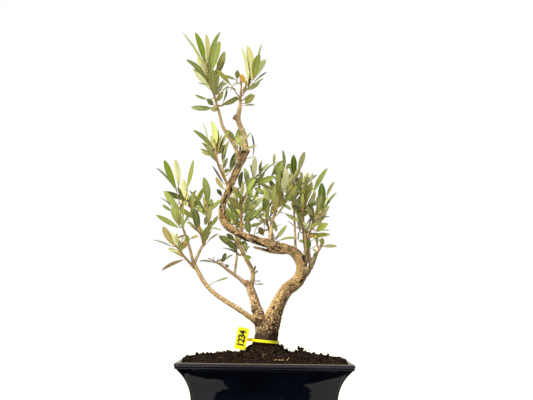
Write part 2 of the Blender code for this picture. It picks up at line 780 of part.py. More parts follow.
def soil_height(x, y):
    across = 1 - abs(2 * x / POT_LENGTH) ** 2.5
    along = 1 - abs(2 * y / POT_DEPTH) ** 2.5
    radius = math.hypot(x, y)
    heap = HEAP_HEIGHT / (1 + math.exp((radius - HEAP_RADIUS) / HEAP_SLOPE))
    dome = DOME_HEIGHT * max(across, 0) * max(along, 0)
    lump = LUMP_HEIGHT * noise.noise(Vector((x, y, 0)) / LUMP_SIZE)
    free = min(1.0, max(0.0, radius / LUMP_FREE_RADIUS - 1))
    return SOIL_EDGE + dome + heap + lump * free


def make_soil(limbs, material):
    rings = cavity_rings(GAP, FLOOR + GAP, SOIL_EDGE, SIDE_STEPS)
    edge = rings[-1]
    for ring in range(1, SOIL_RINGS):
        share = 1 - ring / SOIL_RINGS
        points = [Vector((point.x * share, point.y * share)) for point in edge]
        rings.append([Vector((point.x, point.y, soil_height(point.x, point.y))) for point in points])
    soil = loft("soil", rings, limbs.parts)
    cut(soil, [limbs.cutter["trunk"]])
    return made_mesh(soil, limbs.parts, material)


def make_label(parts, material):
    band = bpy.data.curves.new("label_band", "CURVE")
    band.dimensions = "3D"
    band.extrude = (BAND_HEIGHT - BAND_THICKNESS) / 2
    band.bevel_depth = BAND_THICKNESS / 2
    band.bevel_resolution = 0
    loop = band.splines.new("POLY")
    loop.points.add(BAND_SIDES - 1)
    for i, point in enumerate(loop.points):
        angle = 2 * math.pi * i / BAND_SIDES
        point.co = (BAND_RADIUS * math.cos(angle), BAND_RADIUS * math.sin(angle), 0, 1)
    loop.use_cyclic_u = True
    ring = add_object("label_band", band, parts)
    ring.location = BAND_CENTRE
    ring.rotation_euler = (0, BAND_TILT, 0)
    bpy.context.view_layer.update()
    made_mesh(ring, parts, material)

    plate = bpy.data.curves.new("label_tag", "CURVE")
    plate.dimensions = "2D"
    plate.fill_mode = "BOTH"
    plate.extrude = TAG_THICKNESS / 2
    outline = plate.splines.new("POLY")
    corners = rounded_rectangle(TAG_WIDTH, TAG_HEIGHT, TAG_CORNER, 0)
    outline.points.add(len(corners) - 1)
    for point, corner in zip(outline.points, corners):
        point.co = (corner.x, corner.y, 0, 1)
    outline.use_cyclic_u = True
    tag = add_object("label_tag", plate, parts)
    upright = Matrix.Rotation(math.pi / 2, 4, "X")
    tag.matrix_world = Matrix.Translation(TAG_CENTRE) @ Matrix.Rotation(TAG_LEAN, 4, "Y") @ upright
    bpy.context.view_layer.update()
    made_mesh(tag, parts, material)


def main():
    clear_scene()
    parts = new_collection("olive_bonsai")
    cutters = new_collection("cutters")
    materials = make_materials()
    limbs = Limbs(parts, cutters, materials)
    make_trunk(limbs)
    make_boughs(limbs)
    make_pot(parts, cutters, materials["glaze"])
    make_soil(limbs, materials["soil"])
    make_label(parts, materials["label"])
    make_foliage(limbs, materials["leaf"])
    for cutter in cutters.objects:
        cutter.hide_render = True
        cutter.display_type = "WIRE"


main()
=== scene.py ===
"""Looks of the olive bonsai: bark, twigs, leaves, soil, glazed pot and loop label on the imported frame.

Lengths are in millimetres unless a name says otherwise, and the picture's pixels are those of a frame of
533 by 400. +Z is up and -Y is the front.
"""

import json
import math
import random
from collections import namedtuple

import bmesh
import bpy
import numpy as np
from mathutils import Matrix, Vector, noise
from mathutils.kdtree import KDTree

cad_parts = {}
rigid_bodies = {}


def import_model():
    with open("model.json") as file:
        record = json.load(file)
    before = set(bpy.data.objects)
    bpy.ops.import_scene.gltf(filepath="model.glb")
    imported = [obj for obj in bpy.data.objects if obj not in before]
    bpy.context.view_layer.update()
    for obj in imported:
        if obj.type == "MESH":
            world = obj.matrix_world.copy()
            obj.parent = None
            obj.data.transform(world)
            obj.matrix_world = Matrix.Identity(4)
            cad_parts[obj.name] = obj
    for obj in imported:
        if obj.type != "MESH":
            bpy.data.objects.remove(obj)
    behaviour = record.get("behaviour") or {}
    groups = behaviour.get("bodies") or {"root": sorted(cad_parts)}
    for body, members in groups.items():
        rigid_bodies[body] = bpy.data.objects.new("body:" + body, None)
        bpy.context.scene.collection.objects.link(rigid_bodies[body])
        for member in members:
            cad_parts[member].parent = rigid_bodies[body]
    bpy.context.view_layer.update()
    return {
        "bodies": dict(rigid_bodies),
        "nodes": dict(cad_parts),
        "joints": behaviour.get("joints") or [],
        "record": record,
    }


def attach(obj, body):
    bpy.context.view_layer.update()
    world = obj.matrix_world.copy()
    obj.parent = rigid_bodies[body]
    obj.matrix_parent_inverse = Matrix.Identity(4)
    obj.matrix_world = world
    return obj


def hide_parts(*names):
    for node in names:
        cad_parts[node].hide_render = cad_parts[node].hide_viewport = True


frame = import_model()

MM = 0.001
SEED = 7

# ---- view ----

FRAME_WIDTH = 533
FRAME_HEIGHT = 400
LENS = 73.0
SENSOR = 36.0
FOCAL = LENS / SENSOR * FRAME_WIDTH
HORIZON_ROW = 308
CAMERA_PLACE = Vector((0, -1300, 144.4))
PITCH = math.atan((HORIZON_ROW - FRAME_HEIGHT / 2) / FOCAL)
ROLL = math.radians(0.67)
CAMERA_TURN = Matrix.Rotation(math.pi / 2 + PITCH, 3, "X") @ Matrix.Rotation(ROLL, 3, "Z")


def at(pixel, row, depth):
    """The point that shows at a pixel, at a depth behind the plane of the trunk."""
    ray = CAMERA_TURN @ Vector((pixel - FRAME_WIDTH / 2, FRAME_HEIGHT / 2 - row, -FOCAL))
    return CAMERA_PLACE + ray * ((depth - CAMERA_PLACE.y) / ray.y)


def shown_at(point):
    """The pixel and row where a point shows."""
    local = CAMERA_TURN.transposed() @ (Vector(point) - CAMERA_PLACE)
    scale = FOCAL / -local.z
    return FRAME_WIDTH / 2 + local.x * scale, FRAME_HEIGHT / 2 - local.y * scale


def linear(code):
    """A colour given as six hex digits, in linear light."""
    shares = [int(code[i : i + 2], 16) / 255 for i in (0, 2, 4)]
    return tuple(s / 12.92 if s <= 0.04045 else ((s + 0.055) / 1.055) ** 2.4 for s in shares)


def held(value, top=1.0):
    """A value kept between 0 and a top."""
    return min(top, max(0.0, value))

# ---- wood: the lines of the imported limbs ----

TRUNK_LINE = (
    (0, 0, 100, 14.5), (2.4, 0, 112, 13.2), (8.6, 1, 131, 10.7), (16, 2, 150, 8.4),
    (24.5, 4, 165, 8.0), (40, 6, 179, 7.5), (43.5, 5, 194, 7.0), (36, 2, 210, 6.3), (18, -4, 217, 5.9),
    (-8, -9, 224, 5.4), (-34, -12, 233, 5.0), (-50, -13, 246, 4.5), (-52.5, -11, 264, 4.3),
    (-44.5, -8, 288, 4.5), (-34, -3, 315, 4.8), (-25, 0, 336, 4.9),
)
# How much of the trunk is warty, dull and flaking, at each of its knots.
TRUNK_WARTS = (1, 1, 0.9, 0.7, 0.6, 0.5, 0.25, 0.1, 0, 0, 0, 0, 0, 0, 0, 0)
TRUNK_DULL = (0.5, 0.4, 0.2, 0.1, 0.2, 0.55, 0.7, 0.5, 0.15, 0.1, 0.1, 0.2, 0.2, 0.1, 0.1, 0.1)
TRUNK_FLAKES = (0.1, 0.1, 0.1, 0.15, 0.3, 0.2, 0.15, 0.2, 0.75, 0.9, 0.6, 0.5, 0.85, 0.9, 0.8, 0.9)
Limb = namedtuple("Limb", "name line warts flakes young")
LIMBS = (
    Limb(
        "second_trunk", ((-1, 1, 116, 8), (-9, 5, 139, 6.6), (-15, 10, 158, 5.4), (-20, 13, 173, 5.0)),
        0.7, 0.1, 0,
    ),
    Limb(
        "leader", ((-26, 0, 331, 3.4), (-28, 2, 353, 3.0), (-35.5, 3, 372, 3.0), (-33.5, 0, 390, 2.5)),
        0.1, 0.25, 0.2,
    ),
    Limb(
        "top_left_bough",
        ((-33, -3, 321, 2.3), (-39, -9, 338, 2.1), (-53, -12, 360, 1.8), (-59, -12, 381, 1.5)),
        0, 0.25, 0.7,
    ),
    Limb(
        "left_bough",
        ((-2, -2, 123, 4.4), (-31, -12, 142, 3.0), (-66, -18, 166, 2.4), (-86, -22, 197, 2.3)),
        0.12, 0, 0.85,
    ),
    Limb(
        "left_fork_outer", ((-85, -22, 193, 1.8), (-89, -24, 210, 1.6), (-97, -27, 234, 1.3)),
        0, 0.15, 0.6,
    ),
    Limb(
        "left_fork_inner", ((-85, -22, 193, 1.8), (-81, -18, 205, 1.6), (-75, -12, 219, 1.5)),
        0, 0.1, 0.8,
    ),
    Limb(
        "second_left", ((-19, 13, 169, 3.2), (-31, 12, 179, 2.1), (-45, 8, 189, 1.7), (-57, 5, 198, 1.3)),
        0.1, 0, 0.8,
    ),
    Limb(
        "second_up", ((-18, 13, 168, 3.2), (-16, 17, 188, 2.5), (-29, 24, 213, 2.1), (-38, 29, 235, 1.6)),
        0.2, 0.1, 0.6,
    ),
    Limb("second_twig", ((-38, 10, 183, 1.5), (-36, 14, 198, 1.4), (-35, 19, 211, 1.2)), 0, 0, 0.9),
    Limb("under_twig", ((33, 1, 212.5, 2.6), (11, -3, 211.3, 2.4), (-15, -6, 217, 1.3)), 0, 0.6, 0.2),
    Limb(
        "bend_twig", ((43, 4, 196, 3.0), (48.5, 8, 216, 2.1), (47, 14, 237, 1.7), (45, 20, 252, 1.4)),
        0, 0.2, 0.5,
    ),
    Limb("right_bough", ((43, 6, 181, 3.6), (53, 11, 192, 3.4), (62, 14, 213, 2.4)), 0.2, 0.2, 0.3),
    Limb("right_shoot", ((55, 11, 193, 2.4), (51, 14, 222, 1.9), (55, 10, 245, 1.5)), 0, 0.1, 0.7),
    Limb("straight_twig", ((36, 1, 209, 1.5), (35, 9, 238, 1.2), (34, 20, 262, 1.1)), 0, 0, 0.6),
    Limb("middle_twig", ((3, -5, 218, 2.7), (6, 1, 238, 2.1), (7, 8, 252, 1.8)), 0, 0.1, 0.8),
    Limb("back_bough", ((12, -2, 217, 2.6), (9, 20, 225, 2.0), (4, 44, 240, 1.6)), 0, 0.2, 0.6),
    Limb(
        "back_right_bough", ((43, 7, 187, 3.2), (50, 28, 204, 2.3), (48, 48, 226, 1.6)),
        0.1, 0.1, 0.6,
    ),
)
# How much darker some limbs are than the rest.
SHADED_LIMBS = {
    "straight_twig": 0.5, "right_bough": 0.5, "right_shoot": 0.4, "bend_twig": 0.45,
    "left_fork_outer": 0.35, "left_fork_inner": 0.2, "back_right_bough": 0.5, "back_bough": 0.35,
}
# Short cut stubs and knots: line with radii. The first few are bare cuts, and one has leaves.
BARE_CUTS = 2
STUBS = (
    ((-35.5, 3, 373, 3.0), (-38.5, 3, 375, 3.2), (-41.3, 3, 376.5, 2.9)),
    ((-17, 11, 170, 3.4), (-23, 8, 175, 3.3), (-24.5, 7, 176, 2.6)),
    ((-17, 16, 187, 1.6), (-14, 15, 191, 1.3), (-12.5, 14, 195, 1.0)),
    ((-17, 16, 185, 1.5), (-12, 14, 187.5, 1.1), (-9, 13, 189.5, 0.8)),
    ((-9, 5, 139, 3.0), (-14.5, 0, 142, 2.4), (-16.5, -1, 143, 1.6)),
    ((12, -4, 218, 3.2), (11, -10, 221, 2.4), (10.5, -12, 222, 1.8)),
    ((44, 5, 190, 3.5), (51, 0, 192, 2.6), (52.5, -1, 192.5, 2.0)),
)
LIMB_STEPS = 10
STUB_STEPS = 4
LEAFY_STUB = 3
LIMB_SIDES = 20
VOXEL = 0.58
SMOOTH_STEPS = 5
THIN_RADIUS = 2.4
SMOOTHING_LOSS = 0.16
COLLAR = 0.25
WART_SPACING = 2.9
MOTTLE_SIZE = 6.5
FINE_SIZE = 1.2
PLATE_LENGTH = 5.2
PLATE_WIDTH = 2.9
YOUNG_RADIUS = 1.6
OLD_RISE = 2.4
BUTTRESSES = 4
BUTTRESS_TOP = 128
BUTTRESS_FOOT = 104
BUTTRESS_DEPTH = 1.3
DAMP_TOP = 121
LOW_TOP = 145
# The height up to which the right side of the trunk gets painted shade.
PAINTED_SHADE_TOP = 212

# Colours of the bark, by its state and place.
BARK_TAN = Vector(linear("c9aa84"))
BARK_GREY = Vector(linear("88745a"))
BARK_YOUNG = Vector(linear("b89b72"))
# The pale colour below is real pale warts and flecks, and also a painted highlight on young limbs and on
# the trunk's left side.
BARK_PALE = Vector(linear("ecd8b4"))
BARK_PLATE = Vector(linear("ecd2ac"))
# The trunk's tint low down and from the bend up, and the other limbs'.
TRUNK_TINTS = (Vector((1.06, 0.97, 0.78)), Vector((0.84, 0.76, 0.64)))
TRUNK_TINT_FOOT = 180
TRUNK_TINT_RISE = 35
LIMB_TINTS = {
    "second_trunk": Vector((1.3, 1.27, 1.2)), "left_bough": Vector((1.22, 1.2, 1.1)),
    "leader": Vector((1.25, 1.35, 1.25)), "right_bough": Vector((0.75, 0.8, 0.7)),
    "bend_twig": Vector((0.62, 0.67, 0.58)),
    "second_up": Vector((1.0, 1.0, 0.85)),
}
BARK_DULL = Vector(linear("97805c"))
# The warm brown below is painted shade under young limbs.
BARK_UNDERSIDE_SHADE = Vector(linear("94683c"))
BARK_SHADED = Vector(linear("66573a"))
# The earthy brown below is the ground between warts and also painted shade on the trunk's right side.
BARK_EARTH_AND_SHADE = Vector(linear("40271a"))
BARK_DARK = Vector(linear("4a3422"))
BARK_BLACK = Vector(linear("24160e"))
BARK_CUT = Vector(linear("94604a"))
BARK_DAMP = Vector(linear("2c1c14"))
# Gashes and pits that show in the bark: pixel, row, half length, half width, turn, depth.
BARK_GASHES = (
    (273.3, 307.6, 1.8, 1.3, 60, 0.9), (261.2, 321.5, 2.6, 0.9, 80, 0.7),
    (303.9, 259.0, 4.6, 1.3, -62, 0.9), (306.3, 265.6, 1.4, 0.9, -30, 0.5),
    (301.6, 281.3, 3.2, 1.5, 55, 0.9), (292.0, 285.2, 4.0, 0.9, 8, 0.6),
    (304.0, 277.4, 1.8, 0.8, 20, 0.5), (232.6, 232.6, 2.6, 0.9, -20, 0.6),
    (226.9, 230.3, 2.6, 1.0, -35, 0.7), (242.0, 237.6, 5.4, 1.7, -28, 0.7),
    (247.0, 241.2, 3.0, 1.1, -25, 0.6), (237.4, 235.2, 2.2, 1.0, -20, 0.6),
    (254.6, 242.2, 2.6, 1.1, -30, 0.6), (259.4, 244.4, 6.6, 1.6, -27, 1.0),
    (264.6, 248.2, 6.0, 1.2, -24, 0.8), (268.0, 251.0, 4.6, 0.8, -16, 0.7),
    (276.0, 246.4, 2.4, 0.8, 10, 0.6), (273.2, 249.2, 2.0, 1.1, -25, 0.8),
    (277.8, 250.8, 2.8, 0.9, -10, 0.7), (279.6, 247.8, 1.4, 0.9, 70, 0.6),
    (286.6, 254.8, 5.0, 1.0, -25, 0.6), (304.0, 256.8, 1.3, 1.8, 10, 0.6),
    (243.6, 151.6, 3.6, 1.6, -10, 0.6), (232.0, 189.3, 1.4, 2.6, -20, 0.7),
    (226.6, 196.8, 1.2, 4.0, -20, 0.8), (224.4, 201.6, 1.1, 3.4, -20, 0.7),
    (226.2, 206.8, 1.3, 2.8, -15, 0.7), (219.8, 206.0, 1.1, 2.6, -10, 0.6),
    (222.0, 211.0, 1.0, 2.8, -10, 0.6), (256.0, 309.2, 1.4, 1.0, 30, 0.5),
    (269.4, 329.8, 2.2, 1.2, 30, 0.6), (266.0, 320.6, 1.8, 1.1, 40, 0.5),
    (273.6, 325.2, 2.0, 1.3, -30, 0.6), (298.0, 292.0, 2.0, 0.8, 40, 0.5),
    (268.4, 317.4, 1.6, 1.2, 10, 0.5), (279.0, 313.2, 1.4, 1.0, 60, 0.5),
    (255.0, 303.6, 1.6, 0.8, 60, 0.5),
)

# ---- foliage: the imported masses, each a stem with leaves in its own reach ----

# Each mass is the node called foliage_ and its name. It holds the piece that its leaves go to, its stem
# with radii, its usual leaf length, the shoots that reach back or forward as (share of the way up the
# stem, tip), its centre and its reach.
Mass = namedtuple("Mass", "name piece stem leaf shoots centre reach")
MASSES = (
    Mass(
        "top_left", "top", ((-58.5, -12, 379, 1.4), (-67, -12, 407, 1.2), (-74, -12, 440, 0.8)), 34,
        ((0.15, (-52, 4, 392)), (0.35, (-60, 6, 424)), (0.55, (-74, -34, 424)), (0.7, (-78, 12, 436))),
        (-72, -10, 430), (33, 38, 52),
    ),
    Mass(
        "top_right", "top", ((-33.5, 0, 388, 1.8), (-33, -1, 404, 1.3), (-32, -2, 420, 0.8)), 30,
        ((0.3, (-30, 22, 402)), (0.5, (-26, -24, 410)), (0.6, (-26, 18, 422)), (0.8, (-34, -22, 424))),
        (-28, 0, 427), (33, 34, 40),
    ),
    Mass(
        "cut_end", "top", ((-33, -3, 328, 1.6), (-32, -11, 341, 0.8)), 22,
        ((0.3, (-28, 10, 344)),),
        (-28, -15, 347), (21, 30, 26),
    ),
    Mass(
        "mid_left", "top", ((-45, -8, 288, 1.8), (-58, -17, 314, 1.3), (-63, -18, 344, 0.8)), 31,
        ((0.3, (-54, 8, 312)), (0.5, (-60, -38, 320)), (0.7, (-66, 2, 336))),
        (-63, -14, 329), (33, 34, 46),
    ),
    Mass(
        "left_high", "left", ((-74, -11, 217, 1.3), (-83, -4, 246, 1.1), (-102, 5, 288, 0.8)), 34,
        ((0.3, (-86, 20, 246)), (0.5, (-90, -26, 262)), (0.7, (-98, 30, 280)), (0.8, (-104, -20, 284))),
        (-106, 4, 284), (33, 38, 44),
    ),
    Mass(
        "left_inner", "left", ((-74, -11, 217, 1.2), (-69, -13, 242, 1.0), (-71, -16, 268, 0.7)), 30,
        ((0.3, (-66, 12, 238)), (0.5, (-68, -38, 246)), (0.75, (-72, 6, 264))),
        (-70, -16, 266), (24, 34, 40),
    ),
    Mass(
        "left_outer", "left", ((-96.5, -27, 232, 1.2), (-101, -30, 246, 1.0), (-108, -33, 262, 0.8)), 28,
        ((0.35, (-104, -52, 248)), (0.6, (-104, -8, 256))),
        (-112, -35, 260), (24, 34, 31),
    ),
    Mass(
        "left_low", "left", ((-84, -22, 190, 1.6), (-98, -30, 206, 1.2), (-110, -36, 222, 0.8)), 26,
        ((0.4, (-98, -52, 208)), (0.6, (-102, -12, 214))),
        (-115, -36, 216), (24, 36, 31),
    ),
    Mass(
        "low_left", "left", ((-55, 5, 196, 1.2), (-69, 3, 203, 0.7)), 16,
        ((0.4, (-58, 20, 204)), (0.6, (-62, -12, 204))),
        (-61, 6, 205), (26, 26, 18),
    ),
    Mass(
        "centre_low", "centre", ((-35, 18, 209, 1.2), (-38, 25, 226, 0.8)), 24,
        ((0.5, (-34, 42, 222)), (0.7, (-42, 4, 226))),
        (-37, 22, 220), (34, 36, 26),
    ),
    Mass(
        "centre_back", "back", ((-37, 28, 232, 1.5), (-36, 42, 262, 1.2), (-30, 50, 292, 0.8)), 30,
        ((0.4, (-50, 38, 262)), (0.5, (-14, 52, 282)), (0.6, (-42, 62, 288)), (0.3, (-40, 68, 256))),
        (-34, 48, 278), (32, 38, 48),
    ),
    Mass(
        "centre_front", "centre",
        ((-27, -10, 228, 2.0), (-30, -3, 242, 1.5), (-29, 4, 272, 1.2), (-12, 12, 306, 0.8)), 30,
        ((0.25, (-22, -28, 246)), (0.45, (-28, 26, 262)), (0.65, (-22, -16, 284)), (0.8, (-14, 32, 300))),
        (-12, 6, 284), (36, 34, 50),
    ),
    Mass(
        "centre", "centre", ((6.8, 7, 250, 1.7), (12, 11, 262, 1.4), (17, 15, 286, 1.0)), 30,
        ((0.4, (6, -14, 272)), (0.5, (14, 36, 276)), (0.75, (16, -8, 292)), (0.9, (18, 36, 296))),
        (14, 16, 298), (32, 34, 43),
    ),
    Mass(
        "back_centre", "back", ((34, 19.5, 260, 1.1), (34, 32, 300, 0.9)), 32,
        ((0.30, (20, 42, 304)), (0.40, (46, 36, 306)), (0.50, (34, 54, 304))),
        (33, 38, 303), (29, 34, 41),
    ),
    Mass(
        "right_upper", "right", ((45.3, 19, 250, 1.4), (46, 24, 276, 1.0)), 32,
        ((0.3, (42, -4, 270)), (0.5, (50, 42, 272)), (0.7, (46, 0, 284))),
        (49, 20, 290), (29, 36, 38),
    ),
    Mass(
        "right_outer", "right", ((54.5, 10.3, 243, 1.4), (62, 8, 268, 1.0)), 32,
        ((0.3, (60, -16, 262)), (0.45, (62, 32, 262)), (0.7, (66, -16, 280))),
        (66, 6, 276), (25, 37, 41),
    ),
    Mass(
        "right_low", "right", ((61.5, 13.8, 211, 1.8), (70, 12, 224, 1.0)), 20,
        ((0.4, (64, 34, 224)), (0.6, (66, -8, 228))),
        (67, 13, 229), (26, 32, 22),
    ),
    Mass(
        "back_right", "back", ((48, 47, 224, 1.5), (46, 58, 244, 1.2), (42, 66, 262, 0.8)), 31,
        ((0.30, (62, 54, 248)), (0.50, (28, 64, 254)), (0.40, (42, 84, 246))),
        (48, 66, 260), (32, 38, 38),
    ),
    Mass(
        "back", "back", ((4.3, 42, 238.5, 1.5), (0, 60, 260, 1.2), (2, 70, 284, 0.8)), 31,
        ((0.30, (-14, 58, 258)), (0.40, (18, 66, 266)), (0.60, (-10, 82, 276)), (0.60, (8, 92, 264))),
        (1, 68, 276), (32, 40, 46),
    ),
)
# The pieces that the masses' leaves are joined into.
LEAF_PIECES = ("top", "left", "centre", "right", "back")

# Finer twigs that show, by mass: depths at the foot and the tip, and pixels from foot to tip.
TWIGS = {
    "top_right": (
        (-1, -8, ((239.5, 99), (235.5, 92), (230.5, 84.5))),
        (0, 4, ((240.5, 99), (247, 89), (252.5, 80))), (1, -4, ((237, 83), (234, 84.5), (230, 91))),
    ),
    "mid_left": ((-16, -12, ((217.5, 158), (213.5, 152), (208, 146))),),
    "left_high": (
        (-8, -14, ((187, 218), (182.5, 208), (178, 198), (176.5, 189))),
        (-6, 4, ((184, 204), (186, 196), (187, 188))),
    ),
    "left_outer": ((-27, -30, ((183, 229), (181, 218), (180, 210))),),
    "left_inner": (
        (-13, -16, ((203.5, 244), (198, 231), (190, 222), (185.5, 215))),
        (-14, -12, ((203.5, 228), (208, 216), (207.5, 205))),
    ),
    "left_low": ((-24, -30, ((188, 243), (183, 236), (176.5, 239))),),
    "low_left": ((5, 4, ((224, 267), (222, 263), (221.5, 260))),),
    "centre_front": (
        (4, 2, ((243.2, 198.5), (240, 194), (236, 187))),
        (6, 10, ((249, 191), (254.5, 184), (258, 180))),
    ),
    "centre": (
        (2, 0, ((269.5, 227), (262, 219.5), (260.5, 214), (262.5, 210))),
        (12, 4, ((281, 204), (274, 203), (267, 205), (265, 211))),
        (14, 6, ((281.5, 203), (282, 190), (283, 180))),
    ),
    "back_centre": ((30, 26, ((293.5, 200), (293.5, 188), (293, 176))),),
    "right_upper": ((20, 16, ((303, 214), (303.5, 202), (303, 194))),),
    "right_outer": ((9, 6, ((314, 223), (320, 215), (322, 208))),),
    "right_low": ((13, 10, ((316, 247), (315.5, 240), (313, 234))),),
}

